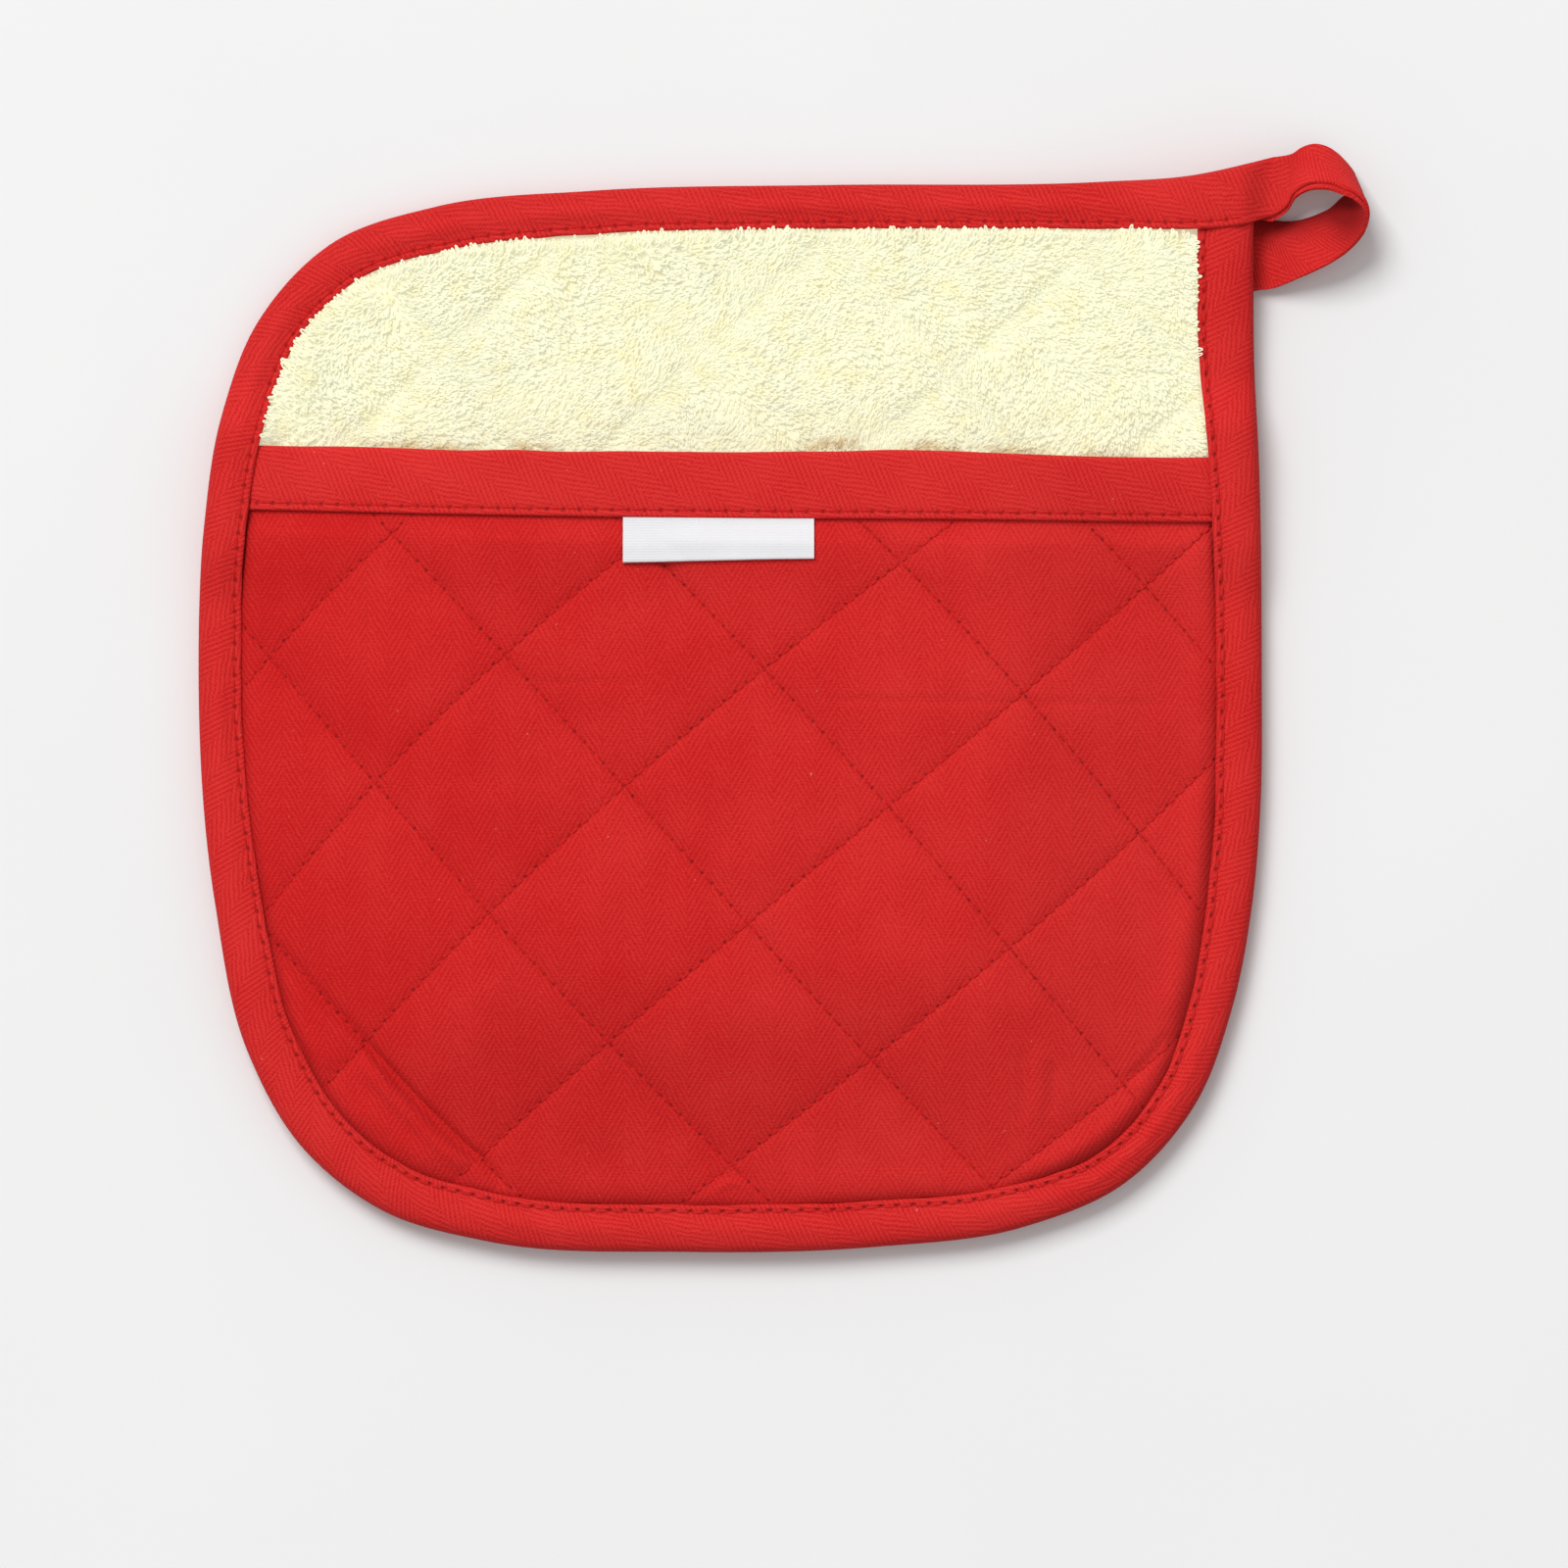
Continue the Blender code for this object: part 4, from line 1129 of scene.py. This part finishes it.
# %% A Geometry Nodes tree under construction
class Pattern(Nodes):
    """A tree that repeats one thing over a base, with named inputs for its sizes."""

    def __init__(self, name, **sizes):
        super().__init__(bpy.data.node_groups.new(name, "GeometryNodeTree"))
        face = self.tree.interface
        for way in ("INPUT", "OUTPUT"):
            face.new_socket("Geometry", in_out=way, socket_type="NodeSocketGeometry")
        for label, value in sizes.items():
            kind = "NodeSocketInt" if isinstance(value, int) else "NodeSocketFloat"
            face.new_socket(label, in_out="INPUT", socket_type=kind).default_value = value
        given = self.tree.nodes.new("NodeGroupInput").outputs
        self.given = {label: Wire(self, given[label]) for label in ("Geometry", *sizes)}
        self.result = self.tree.nodes.new("NodeGroupOutput").inputs["Geometry"]

    def vector(self, *numbers):
        return self.add("ShaderNodeCombineXYZ", numbers)

    def read(self, name, kind="FLOAT_VECTOR"):
        """What is stored on the base under a name."""
        return self.add("GeometryNodeInputNamedAttribute", {"Name": name}, data_type=kind)

    def write(self, geometry, name, value, domain):
        """Stores a number on a geometry, for the dye to read."""
        return self.add("GeometryNodeStoreNamedAttribute",
                        {"Geometry": geometry, "Name": name, "Value": value},
                        data_type="FLOAT", domain=domain)

    def random(self, kind, low, high, seed):
        """A random number or vector for each point, the same on every run."""
        place = ("FLOAT_VECTOR", "FLOAT", "INT").index(kind)
        end = ("", "_001", "_002")[place]
        return self.add("FunctionNodeRandomValue",
                        {"Min" + end: low, "Max" + end: high, "Seed": seed}, place, data_type=kind)

    def loop(self, foot, ease, shoulder, tilt, crest, sunk, steps, yarn):
        """A tube of yarn that comes up, arches over and dives again, marked where its tip is."""
        arch = self.add("GeometryNodeCurvePrimitiveBezierSegment", {
            "Resolution": steps,
            "Start": self.vector(foot * -1, ease, sunk),
            "Start Handle": self.vector(shoulder * -1, tilt, crest),
            "End Handle": self.vector(shoulder, tilt, crest),
            "End": self.vector(foot, ease * -1, sunk)}, mode="POSITION")
        tip = (self.add("GeometryNodeSplineParameter") * math.pi).sine()
        ring = self.add("GeometryNodeCurvePrimitiveCircle", {"Resolution": 4, "Radius": yarn},
                        mode="RADIUS")
        return self.add("GeometryNodeCurveToMesh", {
            "Curve": self.write(arch, "tip", tip, "POINT"), "Profile Curve": ring,
            "Fill Caps": True})

    def repeat(self, points, way, facing, axes, **more):
        """Instances on points, each one turned so that its two named axes follow two ways."""
        turned = self.add("FunctionNodeAxesToRotation",
                          {"Primary Axis": way, "Secondary Axis": facing},
                          primary_axis=axes[0], secondary_axis=axes[1])
        more = {label.replace("_", " "): value for label, value in more.items()}
        return self.add("GeometryNodeInstanceOnPoints",
                        {"Points": points, "Rotation": turned, **more})

    def finish(self, instances, material):
        """Makes the instances real, smooths and dyes them, and ends the tree with them."""
        real = self.add("GeometryNodeRealizeInstances", [instances])
        smoothed = self.add("GeometryNodeSetShadeSmooth", {"Geometry": real})
        self.feed(self.result, self.add("GeometryNodeSetMaterial",
                                        {"Geometry": smoothed, "Material": material}))
        print(self.tree.name, "is a tree of", len(self.tree.nodes), "nodes")


def grown(base, pattern, name, **sizes):
    """The plain mesh that a tree makes on a base object, which it takes the place of."""
    modifier = base.modifiers.new("pattern", "NODES")
    modifier.node_group = pattern.tree
    for item in pattern.tree.interface.items_tree:
        if item.in_out == "INPUT" and item.name in sizes:
            modifier[item.identifier] = sizes[item.name]
    bpy.context.view_layer.update()
    evaluated = base.evaluated_get(bpy.context.evaluated_depsgraph_get())
    mesh = bpy.data.meshes.new_from_object(evaluated)
    mesh.name = name
    base.modifiers.remove(modifier)
    bpy.data.objects.remove(base, do_unlink=True)
    mesh.calc_loop_triangles()
    print(f"{name}: {len(mesh.loop_triangles)} triangles")
    return placed(name, mesh)


# %% Cream cotton
# The foot colour is painted shade for the crevices of the pile, and the glow colours are painted
# light, strongest at the foot.
CREAM_FOOT, CREAM_TIP = (0.58, 0.565, 0.40), (0.615, 0.635, 0.535)
CREAM_WARM, CREAM_SHADE = (0.58, 0.53, 0.30), (0.56, 0.38, 0.17)
GLOW_FOOT, GLOW_TIP, GLOW_WARM = (0.445, 0.440, 0.315), (0.185, 0.195, 0.145), (0.41, 0.38, 0.23)


def cream_cotton(name, is_pile):
    """Cream yarn: painted darker and yellower at its foot, as shade in the pile's crevices, warm in
    patches, and painted brown where the mouth shades it.

    Light goes from strand to strand in terry, and a weak glow stands for that: painted light,
    strongest at the foot and weaker in the mouth's shade.
    """
    dye = Dye(name)
    patch, ply, shade = dye.noise(9, 3), dye.noise(0.3, 1), dye.mark("shade")
    share = patch * 0.4
    if is_pile:
        share = dye.mark("tip") * 0.85 + dye.mark("tone") * 0.4 + (patch - 0.5) * 0.9
    share = share.kept()
    warm = ((dye.noise(4.5) - 0.47) * 4).kept() * (1 - share) * 0.7
    colour = dye.mix(warm, dye.mix(share, CREAM_FOOT, CREAM_TIP), CREAM_WARM)
    colour = dye.mix((shade - share * 0.3).kept(), colour, CREAM_SHADE)
    glow = dye.mix(warm, dye.mix(share, GLOW_FOOT, GLOW_TIP), GLOW_WARM)
    in_sight = ((dye.place[1] - 50) * 0.25).kept() * (1 - shade * 0.6)
    dye.feed(dye.shader["Emission Color"], dye.mix(in_sight, (0, 0, 0), glow))
    dye.feed(dye.shader["Emission Strength"], 1)
    return dye.finish(colour, 0.95 - share * 0.03, ply * 0.06, 0.05)


pile_cotton = cream_cotton("cream_pile", True)
ground_cotton = cream_cotton("cream_ground", False)

# %% The terry's ground
terry = panel("terry_ground", inset_ring(RIM_INSET, 2), terry_over, terry_under, 2.4, 4.5,
              ground_cotton)

# %% The loops of the pile
pile = Pattern("terry_pile", Spacing=0.75 * MM, Width=0.72 * MM, Height=2.3 * MM,
               Yarn=0.24 * MM, Spread=0.4, Seed=1)
loop_wide, loop_high, seed = (pile.given[label] for label in ("Width", "Height", "Seed"))
# Columns: width, how far the feet are apart across, height and lean of the top, in shares.
LOOP_SHAPES = ((0.4, 0.2, 1, 0), (0.25, 0.4, 0.85, 0.12), (0.5, 0.1, 1.1, -0.1),
               (0.2, -0.35, 0.95, 0.06))
loop_shapes = []
for half_width, splay, tall, nod in LOOP_SHAPES:
    shape = pile.loop(loop_wide * half_width, loop_wide * splay, loop_wide * 1.2, loop_high * nod,
                      loop_high * (tall * 1.28), -0.6 * MM, 5, pile.given["Yarn"])
    loop_shapes.append(pile.add("GeometryNodeGeometryToInstance", [shape]))
all_loops = pile.add("GeometryNodeJoinGeometry", {"Geometry": loop_shapes[::-1]})

# %% Scatter, lean, turn and colour them
scatter = pile.add("GeometryNodeDistributePointsOnFaces", {
    "Mesh": pile.given["Geometry"], "Distance Min": pile.given["Spacing"], "Density Max": 6.0e6,
    "Seed": seed}, distribute_method="POISSON")
stray = pile.random("FLOAT_VECTOR", (-1, -1, -0.2), (1, 1, 0.4), seed)
stray = pile.add("ShaderNodeVectorMath", {"Vector": stray, "Scale": pile.given["Spread"]},
                 operation="SCALE")
way = pile.add("ShaderNodeVectorMath", [pile.read("lean"), stray], operation="ADD")
facing = pile.random("FLOAT_VECTOR", (-0.7, -0.7, 1), (0.7, 0.7, 1), seed + 7)
pick = pile.random("INT", 0, len(LOOP_SHAPES) - 1, seed + 3)
size = pile.random("FLOAT", 0.82, 1.2, seed + 5) * pile.read("tall", "FLOAT")
brushed = pile.repeat(scatter, way, facing, "ZY", Instance=all_loops, Pick_Instance=True,
                      Instance_Index=pick, Scale=size)
tone = pile.random("FLOAT", 0, 1, seed + 9)
pile.finish(pile.write(brushed, "tone", tone, "INSTANCE"), pile_cotton)

# %% The patches that the pile stands on
PATCH_STEP = 0.5
PILE_BELOW_MOUTH = 7                # how far the pile goes on inside the pocket
PILE_INSET = 0.5                    # from the binding's edge to the first strands
LEAN, UPRIGHT = 1.45, 0.8


def pile_patch(name, low_x, high_x):
    """A piece of the terry's top, with the way that the pile is brushed stored on it."""
    xs = np.linspace(low_x, high_x, round((high_x - low_x) / PATCH_STEP) + 1)
    ys = np.arange(42, 104, PATCH_STEP)
    x, y = (g.ravel() for g in np.meshgrid(xs, ys))
    away, band = edge_distance(x, y)
    within = is_inside(np.column_stack([x, y]), body_ring(4)[:, :2])
    inside = np.where(within, away, -away) - band
    above_mouth = y - mouth_lines(x)[0]
    corner = (np.arange(len(ys) - 1)[:, None] * len(xs) + np.arange(len(xs) - 1)).ravel()
    quads = np.stack([corner, corner + 1, corner + len(xs) + 1, corner + len(xs)], axis=1)
    kept = ((inside > PILE_INSET) & (above_mouth > -PILE_BELOW_MOUTH))[quads].all(axis=1)
    raised = 1.45 * (1 - smooth((inside - PILE_INSET) / 2.8)) + 0.5 * bank(x, y, inside)
    points = in_model(np.column_stack([x, y, terry_over(x, y) + raised]))
    mesh = bpy.data.meshes.new(name)
    mesh.from_pydata(points.tolist(), [], quads[kept].tolist())

    # Shorter strands along the quilting and beside the binding.
    left_end = smooth((-70 - x) / 20)
    tall = 1 - 0.42 * bell(off_lines(x, y, BACK_LATTICE), 2.2)
    tall = tall * (1 - (0.34 - 0.2 * left_end) * (1 - smooth((inside - 0.8) / 1.5)))

    # The lean wanders, turns outward at the binding, and doesn't point inward anywhere near it.
    turn = np.radians(-25 + 110 * soft_noise(x, y, 27, 41) + 50 * soft_noise(x, y, 9, 42))
    lean = np.column_stack([LEAN * np.cos(turn), LEAN * np.sin(turn), np.full(len(x), UPRIGHT)])
    up, out = (-slope.ravel() / PATCH_STEP
               for slope in np.gradient(inside.reshape(len(ys), len(xs))))
    inward = np.minimum(lean[:, 0] * out + lean[:, 1] * up, 0)
    inward = inward * (1 - smooth((inside - 3) / 12))
    lean -= np.column_stack([inward * out, inward * up, 0 * x])
    near_edge = (1 - smooth((inside - 0.6) / (4 + 6 * left_end)))[:, None]
    lean = between(lean, np.column_stack([out, up, np.full(len(x), UPRIGHT)]), near_edge)

    # Painted brown shade in two stretches close above the mouth, where the pile leaves a dark gap at
    # its edge.
    low_edge = (smooth((x + 80) / 6) * smooth((-34 - x) / 6)
                + smooth((x - 3) / 6) * smooth((97 - x) / 6))
    shade = low_edge * bell(above_mouth - 0.7, 1.3) * smooth(0.6 + 0.9 * soft_noise(x, y, 4, 43))
    store(mesh, lean=lean, tall=tall, shade=shade)
    return placed(name, mesh)


def evened(piece, share):
    """Turns the normals of a pile towards the light from above, as fuzzy yarn scatters it."""
    mesh = piece.data
    ways = np.zeros(len(mesh.vertices) * 3, np.float32)
    mesh.vertices.foreach_get("normal", ways)
    ways = between(ways.reshape(-1, 3), np.array((0, 0, 1)), share)
    ways /= np.linalg.norm(ways, axis=1)[:, None]
    mesh.normals_split_custom_set_from_vertices(ways.tolist())


PILE_CUTS = (-100, -27, 36, 100)
pile_pieces = []
for number, (low_x, high_x) in enumerate(zip(PILE_CUTS, PILE_CUTS[1:]), 1):
    patch = pile_patch(f"patch_{number}", low_x, high_x)
    pile_pieces.append(grown(patch, pile, f"terry_pile_{number}", Seed=number))
    evened(pile_pieces[-1], 0.8)

# %% [markdown]
# ## Stitches
# Every seam is a row of short threads that dive into the cloth. The places come from the same
# formulas as the holes in the twill: whole steps along a strip, or whole steps along a quilting
# line. A second tree puts one arched thread at each place, turned along the row.

# %% Thread
thread_dye = Dye("red_thread")
lay = thread_dye.noise(0.25, 1)
thread_colour = thread_dye.mix(lay, (0.45, 0.007, 0.008), (0.62, 0.024, 0.021))
red_thread = thread_dye.finish(thread_colour, 0.85 - lay * 0.1, lay * 0.05, 0.08)

# %% One thread at each place
sewing = Pattern("stitches", Length=2.4 * MM, Thread=0.19 * MM, Rise=0.12 * MM)
long = sewing.given["Length"]
thread = sewing.loop(long * 0.5, 0, long * 0.36, 0, sewing.given["Rise"] * 2.6, -0.34 * MM, 6,
                     sewing.given["Thread"])
spots = sewing.add("GeometryNodeMeshToPoints", {"Mesh": sewing.given["Geometry"]})
sewn_down = sewing.repeat(spots, sewing.read("ahead"), sewing.read("out"), "XZ", Instance=thread)
sewing.finish(sewn_down, red_thread)


def stitched(name, middles, ahead, out, length):
    """Threads at the middles, along `ahead` and standing out along `out`."""
    mesh = bpy.data.meshes.new(name + "_places")
    mesh.from_pydata(in_model(middles).tolist(), [], [])
    store(mesh, ahead=ahead, out=np.broadcast_to(out, ahead.shape))
    return grown(placed(name + "_places", mesh), sewing, name, Length=length * MM)


# %% Rows along the strips
def row_on_strip(name, sections, column, last, side_up=1):
    """Threads between the holes of a strip, which are at every fourth station."""
    stations = np.arange(2, last, 4)
    ahead = sections[stations + 1, column] - sections[stations - 1, column]
    side = sections[stations, column + 1] - sections[stations, column - 1]
    out = np.cross(side, ahead) * side_up
    out[:, 2] = np.abs(out[:, 2]) * side_up
    middles = sections[stations, column] + (0, 0, 0.03 * max(side_up, 0))
    return stitched(name, middles, ahead, out, STITCH * 0.78)


last_sewn = on_edge - round(8 / STATION)
UNDER_ROW = len(FRONT_PLACES) + TOP_STEPS + ROLL_STEPS + UNDER_POINT
edge_stitches = row_on_strip("edge_stitches", strip_sections, ROW_POINT, last_sewn)
back_edge_stitches = row_on_strip("back_edge_stitches", strip_sections, UNDER_ROW, last_sewn, -1)
mouth_stitches = row_on_strip("mouth_stitches", mouth_sections, ROW_POINT, len(mouth_u) - 6)


# %% Rows along the quilting
def quilt_rows(name, lattice, surface, shown, side_up, reach=6):
    """Stitches on both families of lines, where they show."""
    spots, ways = [], []
    count = math.floor(reach * QUILT_PITCH / QUILT_STITCH)
    steps = (np.arange(-count, count + 1) + 0.5) * QUILT_STITCH / QUILT_PITCH
    line, step = (g.ravel() for g in np.meshgrid(np.arange(-reach, reach + 1), steps))
    half = 0.3 * QUILT_STITCH / QUILT_PITCH
    guess = np.zeros(len(line))
    for family in (0, 1):
        ends = []
        for offset in (-half, 0, half):
            a, b = (line, step + offset) if family == 0 else (step + offset, line)
            ends.append(quilt_spot(a, b, lattice, guess, guess))
        x, y = ends[1]
        good = np.flatnonzero(is_inside(np.column_stack([x, y]), body_ring(4)[:, :2]))
        good = good[shown(x[good], y[good])]
        start, middle, end = (np.column_stack([p[good], q[good], surface(p[good], q[good])])
                              for p, q in ends)
        spots.append(middle)
        ways.append(end - start)
    up = np.array((0, 0, side_up))
    print(name, "has", sum(len(row) for row in spots), "threads")
    return stitched(name, np.vstack(spots) + 0.02 * up, np.vstack(ways), up, QUILT_STITCH * 0.74)


def on_pocket(x, y):
    """Where the quilting of the pocket shows."""
    clear = (past_band(x, y) > 1.2) & (y < mouth_lines(x)[1] - 1.5)
    return clear & (out_of_crease(x, y) > 0.5)


def on_back(x, y):
    """Where the quilting of the back shows, between the legs of the binding."""
    return edge_distance(x, y)[0] > BACK_LEG + 1.5


pocket_stitches = quilt_rows("pocket_stitches", POCKET_LATTICE, pocket_over, on_pocket, 1)
back_stitches = quilt_rows("back_stitches", BACK_LATTICE, back_under, on_back, -1)

# %% [markdown]
# ## Table, light and camera
# The pot holder lies face up on a pale table and the camera looks straight down. A broad lamp
# at the upper left gives soft shadows at the right and lower edges, and a pale sky fills them.

# %% The table
floor_dye = Dye("pale_table")
floor_colour = floor_dye.mix(floor_dye.noise(90), (0.76, 0.76, 0.76), (0.79, 0.79, 0.79))
pale_table = floor_dye.finish(floor_colour, 0.9, floor_dye.noise(2) * 0.01, 0.1)
bpy.ops.mesh.primitive_plane_add(size=8, location=(0, 0, 0))
floor = bpy.context.object
floor.name = "table"
floor.data.materials.append(pale_table)
for vertex in floor.data.vertices:
    vertex.co.z = -0.2 * MM

# %% Lights
LAMP_AT = (-1.75, 3.1, 4.6)
sky = bpy.data.worlds.new("soft_sky")
bpy.context.scene.world = sky
sky.use_nodes = True
sky.node_tree.nodes["Background"].inputs["Color"].default_value = (1, 1, 1, 1)
sky.node_tree.nodes["Background"].inputs["Strength"].default_value = 0.56
light = bpy.data.lights.new("key_lamp", "AREA")
light.shape, light.size, light.energy = "SQUARE", 2.7, 262
lamp = placed("key_lamp", light)
lamp.location = LAMP_AT
lamp.rotation_euler = (-Vector(LAMP_AT)).to_track_quat("-Z", "Y").to_euler()

# %% Camera
PICTURE = 320                       # width of the picture at the cloth, in millimetres
PICTURE_MIDDLE = (10.9, -13.7)
SENSOR = 36
CAMERA_HEIGHT = 2.4
FOCUS_HEIGHT = 0.0055
camera_data = bpy.data.cameras.new("camera")
camera_data.sensor_width = SENSOR
camera_data.lens = SENSOR * (CAMERA_HEIGHT - FOCUS_HEIGHT) / (PICTURE * MM)
camera = placed("camera", camera_data)
camera.location = (*in_model((*PICTURE_MIDDLE, 0))[:2], CAMERA_HEIGHT)
bpy.context.scene.camera = camera
bpy.context.scene.view_settings.view_transform = "Standard"
print(f"lens {camera_data.lens:.0f} mm at {CAMERA_HEIGHT} m")

# %% [markdown]
# ## The pieces in place
# Every piece hangs under one root, and the imported part that it stands for is hidden.

# %% Which imported part each piece stands for
PLAN = (
    ("back_twill", "back_panel", (back, back_stitches)),
    ("cream_terry", "terry_lining", (terry, *pile_pieces)),
    ("pocket_twill", "pocket_panel", (pocket, pocket_stitches)),
    ("mouth_twill", "pocket_binding", (mouth_strip, mouth_stitches)),
    ("edge_twill", "edge_binding", (edge_strip, edge_stitches, back_edge_stitches)),
    ("loop_twill", "hanging_loop", (loop_strip,)),
    ("woven_label", "label_tab", (label,)),
)
for cloth, node, pieces in PLAN:
    for piece in pieces:
        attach(piece, "root")
    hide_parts(node)
